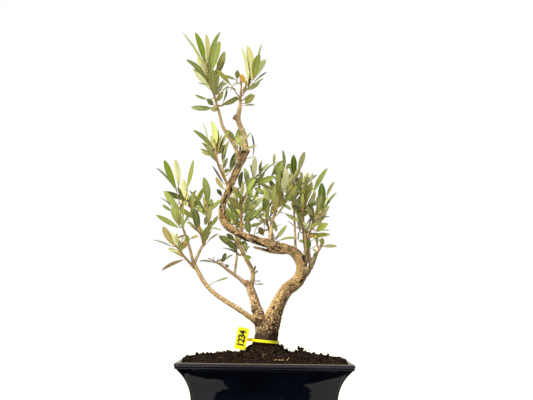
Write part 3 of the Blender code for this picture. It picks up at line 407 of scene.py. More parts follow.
# Leaves that show: base pixel and row, tip pixel and row, width in pixels and shade, by mass.
LEAVES = {
    "top_left": (
        (213, 108, 191, 107, 5.6, "dark"), (207.5, 99.5, 195, 95, 2.6, "olive"),
        (221.5, 105, 237.5, 97.5, 5.4, "olive"), (215.5, 101.5, 223.4, 91, 5.2, "olive"),
        (222, 92.5, 228.5, 85.5, 1.6, "dark"), (213.6, 105, 207, 99, 5.2, "dark"),
        (216.5, 95, 223.4, 80.3, 4.6, "grey"), (210, 89.5, 194.2, 71.5, 5.0, "silver"),
        (208.5, 84.5, 186, 59.6, 5.2, "dark"), (214, 95, 213, 69.5, 8.8, "olive"),
        (207, 73, 182, 32, 2.2, "pale"), (204.5, 62, 195, 32.5, 6.4, "bright"),
        (206, 66, 206, 34, 4.4, "sage"), (209, 70, 220.5, 32, 5.2, "light"),
        (210.5, 74, 220, 41, 7.8, "leafy"), (216, 78, 224.6, 51.5, 7.0, "olive"),
        (206.5, 77, 201.5, 62.5, 4.2, "silver"), (213, 87, 206, 73, 3.0, "leafy"),
        (212.5, 82, 219, 70, 3.0, "dark"),
    ),
    "top_right": (
        (230.5, 85, 216, 69.6, 4.4, "yellow_green"), (235.8, 79.6, 223.4, 75.4, 2.8, "light"),
        (237, 79, 237.6, 70.2, 5.0, "leafy"), (246, 83.5, 240.8, 74, 4.8, "orange"),
        (247.5, 85, 241.5, 48, 3.4, "pale"), (251.5, 79, 247.3, 45.8, 7.4, "sage"),
        (254, 79, 259.6, 54, 7.8, "bright_olive"), (252.8, 80, 265.8, 59.5, 7.0, "pale"),
        (256, 72, 261.8, 44, 2.0, "pale"), (253, 83.6, 267, 71.8, 1.8, "dark"),
        (252, 88.6, 263.8, 78.6, 1.8, "dark"), (245, 103.4, 255.2, 95.2, 6.8, "olive"),
        (242.5, 106, 255, 105, 1.8, "grey"), (243.5, 92, 246.5, 85.5, 3.0, "olive"),
        (232, 88, 236.5, 90, 2.2, "dark"), (248, 88, 250, 78, 3.4, "dark"),
    ),
    "cut_end": (
        (237.5, 147, 240.3, 126.5, 6.6, "silver_green"), (239.6, 151, 257, 145.2, 2.3, "straw"),
        (239, 148, 251.4, 132, 2.8, "straw"), (252.6, 157, 251.2, 134, 1.7, "grey"),
        (234.6, 141, 226.4, 130, 5.0, "olive"),
    ),
    "mid_left": (
        (214, 149.5, 193, 130, 4.6, "dark"), (208, 141, 203, 123, 1.1, "pale"),
        (214, 148.5, 211.3, 121, 5.8, "silver_green"), (217.4, 152, 217, 129, 5.2, "light"),
        (218, 152.6, 222, 134.5, 2.2, "olive"), (214.7, 153.4, 200.4, 149, 2.6, "olive"),
        (214.5, 159.5, 201.6, 142.6, 3.6, "leafy"), (218.4, 153.4, 230, 129.6, 3.2, "olive"),
        (223.4, 164.6, 229, 141, 4.6, "grey_olive"), (230.2, 172, 237, 151.4, 6.2, "dark"),
        (223.6, 183.5, 212.2, 165.6, 2.2, "grey"), (224, 189.4, 216, 177, 4.6, "straw"),
        (226.5, 180, 219.6, 163.4, 1.8, "straw"), (217, 158, 207, 152, 2.6, "leafy"),
    ),
    "left_high": (
        (176.8, 192, 155.8, 167.6, 1.5, "grey"), (176.5, 189, 164, 160, 6.2, "bright"),
        (178.6, 187.5, 175, 159.4, 6.2, "silver"), (185.6, 203.6, 183.4, 179, 7.0, "pale"),
        (186.6, 188.4, 193.6, 159.4, 4.2, "bright_olive"), (180, 210.2, 164, 190.6, 6.6, "light"),
        (171.5, 207, 159.6, 197.6, 1.2, "grey"), (173, 211.6, 162.2, 204.6, 3.0, "leafy"),
        (183, 203, 177.5, 187, 3.6, "leafy"), (188.4, 207, 196.5, 190, 2.6, "light"),
    ),
    "left_outer": (
        (179.6, 226.4, 174, 206, 8.6, "light"), (178.8, 227.8, 155.8, 215, 5.2, "leafy"),
        (183, 226, 195, 208.6, 2.6, "light"), (181.5, 222, 183.5, 207, 2.4, "leafy"),
    ),
    "left_inner": (
        (203, 243.8, 208.8, 225.6, 7.2, "olive"), (206, 244.4, 218.4, 234, 1.4, "brown"),
        (196.7, 228, 194.6, 208.4, 7.2, "dark"), (207.5, 216.4, 195.4, 207.2, 5.0, "light"),
        (207.5, 216.4, 211.4, 198.8, 6.2, "leafy"), (210.4, 226.6, 217.8, 215.4, 3.8, "light"),
        (207.5, 203.8, 203.6, 177.2, 7.2, "leafy"), (191, 214, 204.4, 186.6, 4.2, "light"),
        (205, 212.6, 189, 190, 3.6, "leafy"), (208.8, 227.2, 222, 230.4, 1.6, "leafy"),
        (212, 210, 221.6, 199.4, 4.0, "light"), (199, 233, 190, 225, 2.4, "olive"),
        (203.4, 240, 199, 226, 2.6, "light"),
    ),
    "left_low": (
        (175.6, 247, 162.8, 226.4, 7.0, "tan"), (172.4, 247, 152.7, 239.8, 1.5, "grey"),
        (187, 258.4, 168, 248, 4.2, "tan"), (183.4, 259.7, 161.6, 270.6, 3.6, "brown"),
        (182, 249.6, 188.2, 239, 6.0, "tan"), (188.6, 243.4, 187, 235, 4.4, "bright_olive"),
        (175.4, 246, 172, 231, 2.8, "silver"), (175.8, 245, 176.6, 233, 2.8, "olive"),
        (190.3, 239, 198.8, 235.6, 2.8, "tan"), (177, 238.4, 184.6, 235.4, 2.4, "olive"),
    ),
    "low_left": (
        (214.6, 263.2, 199.2, 261.4, 1.9, "grey"), (221.5, 262.4, 225.5, 253, 4.2, "dark"),
        (224, 261.4, 233, 254.4, 1.6, "grey"), (224.8, 264.6, 229, 266.4, 2.8, "olive"),
    ),
    "centre_low": (
        (238, 247.8, 219, 235.4, 6.2, "olive"), (237, 249, 227.8, 242, 6.6, "dark"),
        (240.7, 256, 222.2, 248, 1.7, "grey"), (235, 241, 226.4, 234, 4.6, "dark"),
        (246.4, 252.4, 243.8, 242.6, 5.4, "grey_olive"), (243, 256, 251.6, 258, 4.8, "bright_olive"),
        (239.4, 242, 247.6, 244.6, 3.4, "olive"), (241, 254, 250, 246, 2.2, "olive"),
    ),
    "centre_front": (
        (254.2, 178, 254.9, 156.2, 5.8, "silver"), (253.4, 179.4, 250, 164.6, 2.4, "dark"),
        (257.3, 176.8, 268.8, 163.8, 2.8, "leafy"), (257.9, 181.6, 277.2, 161.6, 1.6, "olive"),
        (261, 175, 262.2, 160.6, 3.0, "olive"), (247, 187.4, 244.4, 167.6, 5.8, "pale"),
        (240, 188, 242.2, 171.4, 4.8, "dark"), (246, 185.8, 254.8, 177.6, 5.0, "light"),
        (256.4, 183.2, 275.2, 176.4, 6.2, "leafy"), (242, 210, 228, 197, 7.2, "olive"),
        (239.4, 198.6, 232.8, 186.6, 4.4, "straw"), (237.5, 213.8, 227.2, 203.4, 4.8, "grey_olive"),
        (230.5, 224, 226.8, 208.4, 4.6, "bright_olive"), (239.6, 226.6, 228, 214.6, 6.4, "olive"),
        (244.5, 219, 264.4, 197, 6.6, "grey_olive"), (243, 228, 268, 205.4, 5.4, "leafy"),
        (243.4, 221.6, 256.2, 209.8, 5.2, "dark"), (249.6, 233, 247, 218.6, 6.4, "grey_olive"),
        (254.6, 188.2, 263.8, 194.8, 5.2, "dark"), (247, 198.6, 260, 196.4, 1.7, "dark"),
        (241.6, 197.4, 234.4, 187, 3.6, "pale"), (221.8, 196, 216.8, 189.4, 4.0, "dark"),
        (246, 204, 254, 199.6, 2.4, "dark"), (235, 222, 231, 208, 4.0, "leafy"),
        (252, 186, 246.5, 179, 3.4, "light"), (245, 213, 251.6, 203, 4.4, "olive"),
    ),
    "centre": (
        (283.4, 193.6, 286.8, 168.8, 7.4, "silver"), (280.4, 182, 281.6, 171.4, 4.4, "deep"),
        (271.6, 175, 283.6, 160.6, 9.2, "leafy"), (284, 169.6, 282.8, 149.8, 3.2, "leafy"),
        (274, 166, 274.6, 153.6, 2.8, "olive"), (285.6, 169.4, 290.6, 163.8, 4.4, "dark"),
        (284, 201, 296.8, 185.6, 7.6, "olive"), (288, 186, 300.6, 168.8, 7.2, "sage"),
        (282, 201, 256.8, 181.4, 4.6, "sage"), (280.4, 202.4, 263.6, 186.8, 4.2, "pale"),
        (285.4, 213.6, 299.4, 221, 4.2, "olive"), (270, 211.4, 276.4, 205.6, 3.6, "yellow_green"),
        (272.6, 187.4, 280.6, 182.6, 2.2, "dark"), (263.4, 235.6, 258.4, 227, 5.8, "brown"),
        (275, 239.4, 286.8, 225, 4.0, "grey_olive"), (278, 241.6, 298, 239, 2.4, "olive"),
        (254, 234.4, 281.6, 224, 1.6, "olive"), (281, 199, 271.4, 186, 5.6, "leafy"),
        (289, 201.4, 297, 191.6, 5.2, "grey_olive"), (279, 196, 277, 181.4, 5.4, "light"),
        (262.6, 211, 268.4, 200.6, 4.6, "dark"), (283, 205, 291.4, 210, 3.6, "dark"),
        (271, 206, 264.2, 198, 3.0, "leafy"), (280, 192, 269, 180, 4.8, "olive"),
        (286, 196.6, 290.6, 180, 5.4, "leafy"), (273, 197, 268, 188, 3.8, "grey_olive"),
    ),
    "back_centre": (
        (293, 175, 293.6, 154.8, 6.4, "deep"), (298, 172, 304.6, 151.6, 5.2, "sage"),
        (295.6, 188.4, 317.2, 174.8, 4.6, "pale"), (301.6, 181, 301.2, 171.6, 3.2, "silver"),
        (294, 199, 298.6, 182, 6.0, "leafy"), (296, 193, 302, 175.6, 5.2, "grey_olive"),
    ),
    "right_upper": (
        (303, 207, 303, 189.6, 6.4, "grey_olive"), (304.4, 198.6, 312.2, 181.8, 6.8, "olive"),
        (299.4, 205, 300.8, 195.6, 6.0, "grey_olive"), (303, 210, 321, 200.8, 4.4, "dark"),
        (303.4, 190, 308.4, 172.6, 5.4, "sage"), (311, 182, 312.6, 172.8, 2.6, "silver"),
        (302.6, 214, 292.6, 205, 5.0, "dark"), (301.4, 217, 309.6, 209, 4.4, "dark"),
        (304, 231.6, 312, 234, 2.6, "dark"), (301.6, 222, 307.6, 226, 2.4, "leafy"),
        (304, 203, 310.6, 191, 5.2, "olive"),
    ),
    "right_outer": (
        (313.4, 192.4, 327.6, 168.2, 5.0, "light"), (322.3, 209, 321.6, 182.8, 7.8, "deep"),
        (312.4, 222.6, 312, 205.6, 4.2, "slate"), (314.6, 219, 327.6, 197, 6.2, "leafy"),
        (326.6, 197, 334.6, 181.6, 3.2, "sage"), (323.6, 211.2, 336.6, 192.4, 2.8, "dark"),
        (316, 221.4, 329, 205.6, 5.2, "sage"), (319, 219, 330, 216.8, 1.4, "grey"),
        (316.6, 231.6, 328.2, 223.6, 6.2, "bright_olive"), (319.4, 230.6, 330, 230.6, 1.2, "grey"),
        (308.4, 238.2, 330.2, 234.6, 4.4, "yellow_green"), (313, 221, 307, 206, 5.0, "olive"),
        (319, 213, 317.4, 196, 5.2, "leafy"), (317, 216, 308, 214, 3.0, "dark"),
        (309.6, 228, 317, 222.6, 3.2, "leafy"),
    ),
    "right_low": (
        (322.3, 245.4, 321.6, 237.6, 4.4, "yellow_green"), (322.4, 246.3, 337.2, 246.3, 3.4, "sage"),
        (309.6, 248.4, 307.6, 239, 4.8, "deep"), (308, 241.8, 299, 241, 3.8, "leafy"),
        (298.7, 240, 299.4, 231.4, 1.6, "dark"), (315.8, 240, 320.6, 233, 3.0, "leafy"),
        (316, 251, 313, 249.6, 2.4, "leafy"),
    ),
}
# A leaf low on the left bough, and two scraps at the stub of the second trunk.
BOUGH_LEAVES = (
    (213.6, 282.2, 228.6, 277.6, 1.5, "dark"),
    (256, 284.4, 263.6, 284, 1.6, "grey"),
    (256, 281.6, 260.6, 281, 1.2, "grey"),
)

# Open sky inside and round the crown: centre pixel and row, and reach across and down.
SKY = (
    (196, 247, 5, 9), (214, 249, 7, 9), (199, 172, 5, 14), (210, 188, 4, 10), (222, 210, 3, 6),
    (230, 262, 5, 9), (243, 266, 3, 9), (273, 270, 22, 17), (282, 222, 9, 10), (296, 232, 3.5, 11),
    (288, 208, 4, 3), (236, 172, 3, 6), (262, 150, 18, 9), (243, 160, 7, 6), (308, 162, 8, 8),
    (232, 112, 7, 5), (228, 62, 6, 14), (236, 56, 5, 12), (262, 94, 7, 6), (230, 122, 7, 5),
    (172, 258, 8, 6), (160, 258, 10, 8), (158, 184, 8, 10), (186, 172, 3, 6), (206, 168, 8, 12),
    (270, 150, 8, 8), (326, 180, 4, 4), (336, 215, 8, 18), (304, 256, 3, 6), (341, 180, 10, 12),
    (192, 150, 10, 8), (196, 116, 10, 8), (268, 226, 4, 4), (289, 150, 4, 8), (322, 256, 8, 6),
    (206, 260, 10, 6), (247, 236, 2, 2), (259, 206, 3, 3), (216, 232, 4, 4),
)

# The outline of a leaf: shares of its length, the width there, and where its points lie across it.
STATIONS = np.array((0, 0.05, 0.15, 0.28, 0.42, 0.57, 0.72, 0.86, 0.95, 1.0))
OUTLINE = np.array((0.14, 0.22, 0.48, 0.76, 0.94, 1.0, 0.92, 0.66, 0.36, 0.04))
ACROSS = np.array((-1, -0.52, -0.06, 0.06, 0.52, 1))
RIB_STRIP = 2
# The limits of a leaf's arch, sweep, twist and fold in degrees.
LEAF_TURNS = ((-14, 34), (-20, 20), (-24, 24), (6, 22))
LEAF_SLENDER = 0.25
# How far a leaf that shows tilts in depth in radians, and a broad one turns about itself in degrees.
SEEN_TILT = (0.1, 0.5)
FLAT_TURN = 16
LEAF_BREADTH = (0.21, 0.27)
LEAF_THICKNESS = 0.4
# Each leaf takes the colour that it shows in the view. Besides real upper and under sides and autumn tints,
# the grey colour is partly painted shade and the silver colour partly a painted highlight.
SHADES = {  # upper side, under side, which of them shows where a leaf faces the view
    "bright": ("8fa81c", "b9c46a", "upper"),
    "bright_olive": ("8a963c", "b4bb70", "upper"),
    "yellow_green": ("969640", "bdbd6c", "upper"),
    "silver_green": ("94a448", "b4c076", "under"),
    "leafy": ("86924a", "a9b26c", "upper"),
    "light": ("8e9c4c", "a8b462", "under"),
    "olive": ("84864a", "a6a56c", "upper"),
    "dark": ("68733c", "959c64", "upper"),
    "deep": ("587018", "8c9c4c", "upper"),
    "slate": ("414c3c", "7c8464", "upper"),
    "grey": ("7a7f5e", "a3a684", "upper"),
    "grey_olive": ("7c7f54", "a0a178", "upper"),
    "sage": ("8a8c52", "adab78", "under"),
    "pale": ("929a58", "bfc592", "under"),
    "silver": ("a2aa62", "d2d5ac", "under"),
    "straw": ("a89a58", "cdc286", "under"),
    "tan": ("9c8c54", "bfae70", "under"),
    "brown": ("84704c", "9c8658", "under"),
    "orange": ("e8b23c", "e4b468", "upper"),
}
COMMON_SHADES = ("leafy", "olive", "light", "pale", "sage", "light", "grey_olive", "leafy", "dark", "olive")
# Leaves of these shades lean towards the view, in front of their neighbours.
LEANING_SHADES = ("bright", "bright_olive", "deep", "slate", "orange", "silver", "straw")
LEAN_DEPTH = 3.5
LEAF_RIBS = ("b2b37c", "c8c590")
LIGHT_SHARE = 0.87
# A leaf's plain roughness, the limits that it keeps to, and its shine.
LEAF_FINISH = {
    "upper": (0.42, 0.34, 0.52, 0.35), "under": (0.6, 0.52, 0.7, 0.2), "rib": (0.55, 0.5, 0.65, 0.25),
}

# The rule that grows shoots and leaves.
SHOOT_RADIUS = 0.75
SHOOT_TIP_RADIUS = 0.35
SHOOT_SAG = 0.10
SHOOT_STEPS = 5
SHOOT_LEAF_SHARE = 0.92
STEM_STEPS = 6
BARE_SHARE = 0.22
STEM_BARE_SHARE = 0.12
INTERNODE = 11.0
INTERNODE_RANGE = (0.8, 1.15)
LEAF_END_SIZE = 0.78
LEAF_SWELL = 0.3
LEAF_SIZE_RANGE = (0.84, 1.1)
LEAF_SPREAD_LOW = math.radians(55)
LEAF_SPREAD_TIP = math.radians(18)
LEAF_LIFT = 0.28
LEAF_LOSS = 0.07
TURN_JITTER = 0.28
SPREAD_JITTER = 0.14
ROLL_JITTER = 0.7
SPACE_POWER = 4
FINE_LEAF = 0.84
ALIKE_SHARE = 0.7
STALK_LENGTH = 2.0
DEPTH_SHARE = 0.6
PETIOLE_RADIUS = 0.45
BUD_LENGTH = 1.6
BUD_POINT = 0.3
LEAF_EDGE_ANGLE = math.radians(50)
# A front mass's leaves by the rule keep mostly to where leaves show: how many of a leaf's four places are
# covered decides the chance that it stays, and fewer stay in front of the leaves that show.
PLACES = (0.35, 0.6, 0.8, 1.0)
COVERED_CHANCE = (0.02, 0.08, 0.4, 0.9, 1.0)
IN_FRONT_CHANCE = 0.3
COVER_MARGIN = 1.2
FRONT_INTERNODE_SHARE = 0.75

# ---- pot, soil and label ----

POT_LENGTH = 205
POT_DEPTH = 154
POT_HEIGHT = 82
RIM_BAND = 7.0
RIM_WIDTH = 7.5
RIM_CROWN = 2.8
RIM_OVERHANG = -0.7
BEAD_HEIGHT = 2.2
WALL = 6.5
FLOOR = 9
WALL_ARC_RADIUS = 50
WALL_ARC_ANGLE = math.radians(52)
WALL_ARC_TOP = 77
ARC_FOOT = WALL_ARC_TOP - WALL_ARC_RADIUS * math.sin(WALL_ARC_ANGLE)
PLINTH_HEIGHT = 11
PLINTH_PROUD = 1.5
# Insets and heights along the foot band, the bead from the wall's top, and the groove from its middle.
PLINTH_PROFILE = (
    (0.8, 0), (0.25, 0.25), (0, 0.8), (0, PLINTH_HEIGHT - 0.5), (0.2, PLINTH_HEIGHT),
)
BEAD_PROFILE = ((1.2, 0.15), (0.8, 0.4), (0.5, 0.75), (0.4, 1.15))
GROOVE_PROFILE = ((0.5, -0.55), (0.9, -0.3), (0.9, 0.3), (0.3, 0.6), (0, 1.1))
CORNER_RADIUS = 6
CORNER_STEPS = 9
ARC_STEPS = 26
FOOT_GAP_HEIGHT = 5
FOOT_GAP_SHARE = 0.45
FOOT_GAP_REACH = 60
DRAIN_RADIUS = 7
DRAIN_SPREAD = 45
POT_EDGE_ANGLE = math.radians(38)

SOIL_EDGE = 81.5
DOME_HEIGHT = 11.5
HEAP_HEIGHT = 9
HEAP_RADIUS = 22.5
HEAP_SLOPE = 2.2
LUMP_HEIGHT = 2.2
LUMP_SIZE = 14
LUMP_FREE_RADIUS = 24
SOIL_SPACING = 1.1
CLOD_HEIGHT = 2.4
CLOD_SIZE = 6.0
CLOD_MEAN = 1.1
GRIT_HEIGHT = 0.6
GRIT_SIZE = 1.6
CRUMBS = 1200
CRUMB_SIZES = (0.8, 4.2)
# Soil heaped at the rim on both sides, and a bump right of the trunk: height, place and reach in mm.
SPILL_HEIGHT = 3.2
SPILL_PLACE = (POT_LENGTH / 2 - RIM_WIDTH - 2, -30)
SPILL_REACH = (9, 32)
SOIL_BUMP = (at(300.6, 352, -6).x, -6)
SOIL_BUMP_REACH = (5.5, 7)
SOIL_BUMP_HEIGHT = 5.0
# Clods that stand out along the skyline of the soil: pixel, row, depth, size, how tall.
SOIL_CLODS = (
    (182.6, 361.6, -60, 2.6, 0.6), (184.6, 361, -52, 3.0, 0.7), (186, 360.2, -40, 3.2, 0.8),
    (187.4, 359.4, -26, 3.4, 0.8), (188.6, 358.6, -12, 3.4, 0.9), (187, 359, 0, 3.4, 0.8),
    (193, 358, -4, 3.6, 0.9), (344.4, 361.6, -52, 2.6, 0.7), (342, 360.6, -36, 2.8, 0.8),
    (340, 360, -20, 3.0, 0.8), (197, 356, 4, 4.0, 1.0), (200.5, 354, 2, 4.6, 1.1),
    (203, 355, 8, 4.4, 1.0), (207, 356, 0, 4.0, 0.8), (213, 355, 6, 3.0, 0.8), (224, 352, 4, 3.0, 0.9),
    (229.5, 351, 0, 3.6, 1.1), (233, 349, -4, 3.2, 0.9), (275, 344, -12, 3.0, 0.9),
    (279, 346, -8, 3.2, 1.0), (283, 349, -6, 2.8, 0.9), (286.4, 350, -4, 3.4, 1.4),
    (289.5, 351, -2, 2.8, 1.1), (296, 351, -6, 4.0, 1.0), (299, 349, -4, 4.6, 1.2),
    (302, 349.5, -2, 4.4, 1.1), (305, 351, -4, 4.0, 1.0), (309, 353, 0, 3.2, 0.9),
    (316, 354, 2, 3.0, 0.9), (321, 353.5, 2, 3.6, 1.1), (327.5, 354.5, 0, 3.2, 1.2),
    (333, 357, -2, 3.0, 0.9), (338, 359, 0, 2.6, 0.8), (343, 360, -6, 2.4, 0.8),
    (266, 350, -40, 3.0, 0.8), (252, 352, -38, 3.2, 0.7), (312, 357, -36, 3.6, 0.8),
    (222, 357, -34, 3.4, 0.8), (240, 355, -44, 3.0, 0.7), (297, 358, -44, 3.0, 0.8),
)
# Pale chips: pixel, row, size and stretch; then the line of a pale splinter and of a dry stalk.
SOIL_BITS = (
    (276.4, 360.6, 3.0, (1.0, 0.6, 0.4)), (279.4, 360.2, 3.4, (1.2, 0.5, 0.4)),
    (282.6, 360.6, 2.6, (1.1, 0.5, 0.4)), (274.6, 361.4, 1.9, (1.0, 0.7, 0.5)),
    (280.8, 358.8, 1.6, (1.0, 0.6, 0.6)), (309, 356, 1.2, (1.0, 0.7, 0.6)),
    (222, 357.6, 1.3, (1.0, 0.6, 0.5)), (248, 353, 1.1, (1.0, 0.6, 0.5)),
    (232, 360, 1.2, (1.0, 0.6, 0.5)),
)
CHIP_STALK = ((286.4, 361.0), (287.6, 359.4), (289.2, 357.6))
STALK_DEPTH = -62
STALK = ((265.2, 362.5), (263.4, 357), (262.2, 353.8), (264, 354.4), (266.8, 354.6))

BAND_CENTRE = (-0.6, 0, 105.2)
BAND_RADIUS = 17.4
BAND_HEIGHT = 3.2
BAND_THICKNESS = 0.8
BAND_TILT = math.radians(5.3)
BAND_STEPS = 120
TAG_WIDTH = 13.5
TAG_HEIGHT = 26
TAG_THICKNESS = 0.8
TAG_CENTRE = (-27.2, -15.0, 108.3)
TAG_LEAN = math.radians(10.5)
TAG_CORNER = 1.2
TAG_NUMBER = "1234"
# The strap from the tag to the loop: across, depth and height of its sections.
STRAP = (
    (-23.0, -15.0, 4.4), (-20.6, -14.8, 3.6), (-18.6, -13.6, 3.4), (-16.6, -12.0, 3.6),
    (-14.4, -10.8, 3.8), (-12.6, -11.8, 3.0),
)
DIGIT_SIZE = 11.0
DIGIT_BOLDNESS = 0.32
DIGIT_SPACING = 0.86

# ---- stage ----

AMBIENT = 0.43
KEY_COLOR = (1.0, 0.93, 0.7)
# Lights: name, direction, spread in degrees and strength.
LIGHTS = (("key", (-1.0, -0.9, 1.35), 12, 1.75), ("fill", (1.2, -1.2, 0.9), 40, 0.1))
FLOOR_SPAN = 60.0
# The dark card's ring: how near it comes in front and behind, and how far out it goes.
DARK_RING = (700, 150, 25000)
RING_STEPS = 48
# Where the glaze mirrors a dark place: row, first and last pixel.
DARK_GLAZE = (
    (368.6, 183, 350), (371, 184.5, 349), (374.0, 187, 347), (375.0, 191, 346), (376.2, 196, 343),
    (377.4, 201, 339), (378.4, 204, 333), (379.0, 213, 331), (379.6, 221, 328), (381.0, 224, 322),
    (382.2, 223, 318), (383.4, 225, 313), (384.6, 224, 305), (385.6, 227, 303), (386.6, 225, 309),
    (387.6, 229, 306), (388.8, 228, 312), (389.8, 220, 309), (390.8, 223, 314), (392.0, 214, 310),
    (393.2, 217, 308), (394.4, 213, 312), (395.8, 215, 309), (397.2, 211, 313), (398.6, 213, 309),
    (400.0, 210, 311), (404.0, 208, 314), (410.0, 207, 312),
)


# ---- meshes ----


def unit(vector):
    return vector / max(np.linalg.norm(vector), 1e-9)


class Sink:
    """Points in mm and faces of many small shapes, joined into one mesh."""

    def __init__(self):
        self.points = []
        self.faces = []
        self.slots = []
        self.count = 0

    def add(self, points, faces, slots=0):
        self.points.append(np.asarray(points, float))
        base = self.count
        self.faces += [tuple(base + corner for corner in face) for face in faces]
        self.slots += [slots] * len(faces) if isinstance(slots, int) else list(slots)
        self.count += len(points)

    def mesh(self, name, smooth=True):
        mesh = bpy.data.meshes.new(name)
        mesh.from_pydata((np.vstack(self.points) * MM).tolist(), [], self.faces)
        mesh.polygons.foreach_set("material_index", self.slots)
        mesh.polygons.foreach_set("use_smooth", [smooth] * len(self.faces))
        mesh.update()
        return mesh


def drawn(name, shape):
    """A mesh made of a bmesh shape, which is freed."""
    mesh = bpy.data.meshes.new(name)
    shape.to_mesh(mesh)
    shape.free()
    return mesh


def placed(name, data):
    """An object with its data, linked to the scene."""
    item = bpy.data.objects.new(name, data)
    bpy.context.scene.collection.objects.link(item)
    return item


def final_mesh(item):
    """The mesh of an object after its modifiers, in place of the object."""
    mesh = bpy.data.meshes.new_from_object(item.evaluated_get(bpy.context.evaluated_depsgraph_get()))
    bpy.data.objects.remove(item)
    return mesh


def add_piece(name, mesh, materials, nodes):
    """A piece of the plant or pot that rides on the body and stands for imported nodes."""
    piece = placed(name, mesh)
    for material in materials:
        mesh.materials.append(material)
    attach(piece, "root")
    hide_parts(*nodes)


def smooth_line(knots, steps):
    """Points on a smooth curve through the knots, steps of them to each stretch."""
    knots = np.array(knots, float)
    ends = np.vstack([2 * knots[0] - knots[1], knots, 2 * knots[-1] - knots[-2]])
    line = []
    for i in range(len(knots) - 1):
        before, start, end, after = ends[i : i + 4]
        for step in range(steps):
            t = step / steps
            square = (2 * before - 5 * start + 4 * end - after) * t**2
            cube = (3 * start - before - 3 * end + after) * t**3
            line.append(0.5 * (2 * start + (end - before) * t + square + cube))
    line.append(knots[-1])
    return np.array(line)


def carried_frames(points):
    """Directions along a line, and two directions across it that are carried along without turning."""
    along = np.gradient(points, axis=0)
    along /= np.linalg.norm(along, axis=1)[:, None]
    seed = np.array((0, 1, 0)) if abs(along[0][1]) < 0.9 else np.array((1, 0, 0))
    across = [unit(seed - along[0] * seed.dot(along[0]))]
    for direction in along[1:]:
        across.append(unit(across[-1] - direction * across[-1].dot(direction)))
    across = np.array(across)
    return along, across, np.cross(along, across)


def loft(rings, closed=False):
    """Points and faces of a skin through rings of equally many points."""
    count = len(rings[0])
    faces = []
    for i in range(len(rings) if closed else len(rings) - 1):
        a, b = i * count, (i + 1) % len(rings) * count
        faces += [(a + j, a + (j + 1) % count, b + (j + 1) % count, b + j) for j in range(count)]
    if not closed:
        faces.append(tuple(reversed(range(count))))
        faces.append(tuple(range((len(rings) - 1) * count, len(rings) * count)))
    return [point for ring in rings for point in ring], faces


def tube(points, radii, sides):
    """The points and faces of a closed tube along a line."""
    _, across, over = carried_frames(points)
    angles = np.arange(sides) * 2 * math.pi / sides
    cosines, sines = np.cos(angles)[None, :, None], np.sin(angles)[None, :, None]
    ring = cosines * across[:, None, :] + sines * over[:, None, :]
    return loft(points[:, None, :] + ring * np.asarray(radii)[:, None, None])


# ---- materials ----


class Surface:
    """A material with its shader and short ways to add the nodes that drive it."""

    def __init__(self, name, roughness, specular=0.5):
        self.material = bpy.data.materials.new(name)
        self.material.use_nodes = True
        self.tree = self.material.node_tree
        self.shader = self.tree.nodes["Principled BSDF"]
        self.set(Roughness=roughness, Specular_IOR_Level=specular)
        self.place = self.node("TexCoord").outputs["Object"]

    def feed(self, socket, value):
        """Links a node's output to a socket, or sets it to a plain value or a colour in hex digits."""
        if isinstance(value, bpy.types.NodeSocket):
            self.tree.links.new(value, socket)
        else:
            socket.default_value = (*linear(value), 1) if isinstance(value, str) else value

    def set(self, **values):
        for name, value in values.items():
            self.feed(self.shader.inputs[name.replace("_", " ")], value)
        return self

    def node(self, kind, **values):
        node = self.tree.nodes.new(f"ShaderNode{kind}")
        for name, value in values.items():
            self.feed(node.inputs[name.replace("_", " ")], value)
        return node

    def noise(self, scale, detail=3.0, rough=0.55, distortion=0.0):
        """Noise whose grains are about 1 / scale metres across."""
        node = self.node("TexNoise", Vector=self.place, Scale=scale, Detail=detail, Roughness=rough)
        node.inputs["Distortion"].default_value = distortion
        return node.outputs["Fac"]

    def ramp(self, value, stops):
        """Colours, as hex digits or grey shares, along a value."""
        node = self.node("ValToRGB", Fac=value)
        marks = node.color_ramp.elements
        while len(marks) < len(stops):
            marks.new(0.5)
        for mark, (place, color) in zip(marks, stops):
            mark.position = place
            mark.color = (*linear(color), 1) if isinstance(color, str) else (color, color, color, 1)
        return node.outputs["Color"]

    def mix(self, share, one, two, how="MIX"):
        node = self.node("Mix")
        node.data_type = "RGBA"
        node.blend_type = how
        sockets = {item.identifier: item for item in [*node.inputs, *node.outputs]}
        for key, value in (("Factor_Float", share), ("A_Color", one), ("B_Color", two)):
            self.feed(sockets[key], value)
        return sockets["Result_Color"]

    def level(self, low, high):
        """A share that goes from 0 to 1 between two heights in mm."""
        height = self.node("SeparateXYZ", Vector=self.place).outputs["Z"]
        return self.node("MapRange", Value=height, From_Min=low * MM, From_Max=high * MM).outputs["Result"]

    def attribute(self, name):
        node = self.node("Attribute")
        node.attribute_name = name
        return node.outputs["Color"]

    def rough(self, value, low, high):
        """Roughness that follows a value between two limits."""
        limits = self.node("MapRange", Value=value, To_Min=low, To_Max=high)
        return self.set(Roughness=limits.outputs["Result"])

    def bump(self, value, depth, strength=1.0):
        """Relief, with its full depth in mm."""
        node = self.node("Bump", Height=value, Distance=depth * MM, Strength=strength)
        return self.set(Normal=node.outputs["Normal"])


def grained(name, roughness, specular, grain, stops, relief=None, depth=0.0, strength=1.0):
    """A material whose colour follows one noise and whose relief follows another."""
    surface = Surface(name, roughness, specular)
    surface.set(Base_Color=surface.ramp(surface.noise(*grain), stops))
    if relief:
        surface.bump(surface.noise(*relief), depth, strength)
    return surface.material


def bark_material():
    surface = Surface("bark_look", 0.85, 0.3)
    grain = surface.noise(800, 5, 0.7)
    patch = surface.ramp(surface.noise(160, 3, 0.6), ((0.3, 0.6), (0.6, 1.0)))
    tone = surface.mix(0.35, surface.attribute("tone"), patch, "MULTIPLY")
    tone = surface.mix(0.7, tone, surface.ramp(grain, ((0.36, 0.25), (0.48, 0.85), (0.6, 1.0))), "MULTIPLY")
    return surface.set(Base_Color=tone).rough(grain, 0.95, 0.7).bump(grain, 0.55).material


